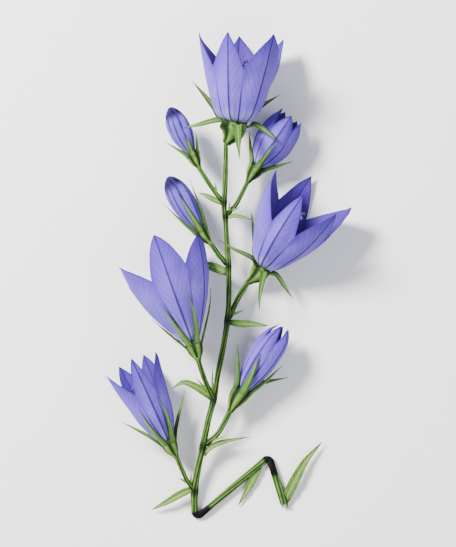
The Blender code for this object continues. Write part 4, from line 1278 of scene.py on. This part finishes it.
def makeLeafyParts():
    stalks = Guide()
    leaves = Guide()
    stalked = [bloom for bloom in grown.values() if "stalk" in bloom.facts]
    lines = [stalkLine(bloom) for bloom in stalked]
    for bloom, line in zip(stalked, lines):
        lengths = lengthsAlong(line)
        radii = [stalkRadius(bloom.facts["stalkRadius"], length) for length in lengths]
        # painted shade near the stalk's foot, where it joins the stem
        joint = [math.exp(-(length / stalkShape["jointLength"]) ** 2) for length in lengths]
        addTube(stalks, line, radii, high, twist=stalkShape["twist"], joint=joint)
        for share, tip in bloom.facts["bracteoles"]:
            addBracteole(leaves, placeAt(line, share), tip)
    for path, full in bracts.values():
        level = stemHeight(path[0][1])
        line = smoothLine([(x, y, level + rise) for x, y, rise in path], 10)
        addBlade(leaves, line, leafWidth, full)
    for path, full in footLeaves.values():
        addBlade(leaves, smoothLine(path, 12), leafWidth, full)
    for x, y, z, tipX, tipY in prongs:
        arch = prongShape["arch"]
        line = smoothLine(((x, y, z), ((x + tipX) / 2, (y + tipY) / 2, z + arch), (tipX, tipY, z - arch)), 5)
        addBlade(leaves, line, prongWidth, prongShape["width"])
    return [
        makeStem([line[0] for line in lines]),
        grow("stalks", stalks.mesh("stalks"), trees["tube"], surface=surfaces["stem"], **stalkTube),
        grow("bracts_and_leaves", leaves.mesh("leaves"), trees["blade"], surface=surfaces["leaf"],
             **leafBlade)]


for piece in makeLeafyParts():
    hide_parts("leafy_stem")
    pieces.append(piece)
for piece in pieces:
    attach(piece, "root")
triangles = sum(len(polygon.vertices) - 2 for piece in pieces for polygon in piece.data.polygons)
print("flower stem ready:", len(pieces), "pieces,", triangles, "triangles")


tableLook = dict(size=4.0, depth=0.0001, colour=(0.93, 0.93, 0.92), dark=0.985, grain=60.0, roughness=0.85)
worldLook = dict(colour=(0.9, 0.93, 1.0), strength=0.5)
lights = (
    dict(name="key", place=(-0.36, 0.30, 0.42), size=0.2, power=15.0, colour=(1.0, 0.98, 0.95)),
    dict(name="fill", place=(0.45, -0.10, 0.50), size=0.6, power=2.2, colour=(0.95, 0.97, 1.0)),
    dict(name="front", place=(0.0, -0.55, 0.45), size=0.5, power=1.5, colour=(1.0, 1.0, 1.0)))
cameraLook = dict(lens=300.0, clipEnd=20.0, frameHeight=0.13675, centre=(0.175, 0.525, 8.0))


def makeTable():
    look = tableLook
    material, shader, place = newMaterial("paleTable", look["roughness"])
    dark = tuple(look["dark"] * value for value in look["colour"])
    grain = noiseValue(place, look["grain"], 4.0, 0.6)
    join(mixColour(grain, look["colour"], dark), shader.inputs["Base Color"])
    half = look["size"] / 2
    corners = [(-half, -half, 0), (half, -half, 0), (half, half, 0), (-half, half, 0)]
    mesh = bpy.data.meshes.new("table")
    mesh.from_pydata(corners, [], [(0, 1, 2, 3)])
    mesh.materials.append(material)
    table = bpy.data.objects.new("table", mesh)
    bpy.context.scene.collection.objects.link(table)
    table.location.z = -look["depth"]


def makeLights():
    for look in lights:
        light = bpy.data.lights.new(look["name"], "AREA")
        light.shape = "DISK"
        light.size = look["size"]
        light.energy = look["power"]
        light.color = look["colour"]
        lamp = bpy.data.objects.new(look["name"], light)
        lamp.location = look["place"]
        lamp.rotation_euler = (-lamp.location).to_track_quat("-Z", "Y").to_euler()
        bpy.context.scene.collection.objects.link(lamp)
    world = bpy.data.worlds.new("studio")
    world.use_nodes = True
    sky = world.node_tree.nodes["Background"].inputs
    sky["Color"].default_value = (*worldLook["colour"], 1.0)
    sky["Strength"].default_value = worldLook["strength"]
    bpy.context.scene.world = world


# Straight above, far off with a long lens, so that the stem lies in the frame without leaning
def makeCamera():
    camera = bpy.data.cameras.new("overhead")
    camera.lens = cameraLook["lens"]
    camera.clip_end = cameraLook["clipEnd"]
    viewer = bpy.data.objects.new("overhead", camera)
    bpy.context.scene.collection.objects.link(viewer)
    centre = (Vector(cameraLook["centre"]) - middle) * millimetre
    away = camera.lens * cameraLook["frameHeight"] / camera.sensor_width
    viewer.location = centre + high * away
    bpy.context.scene.camera = viewer


makeTable()
makeLights()
makeCamera()
print("table, lights and camera ready")
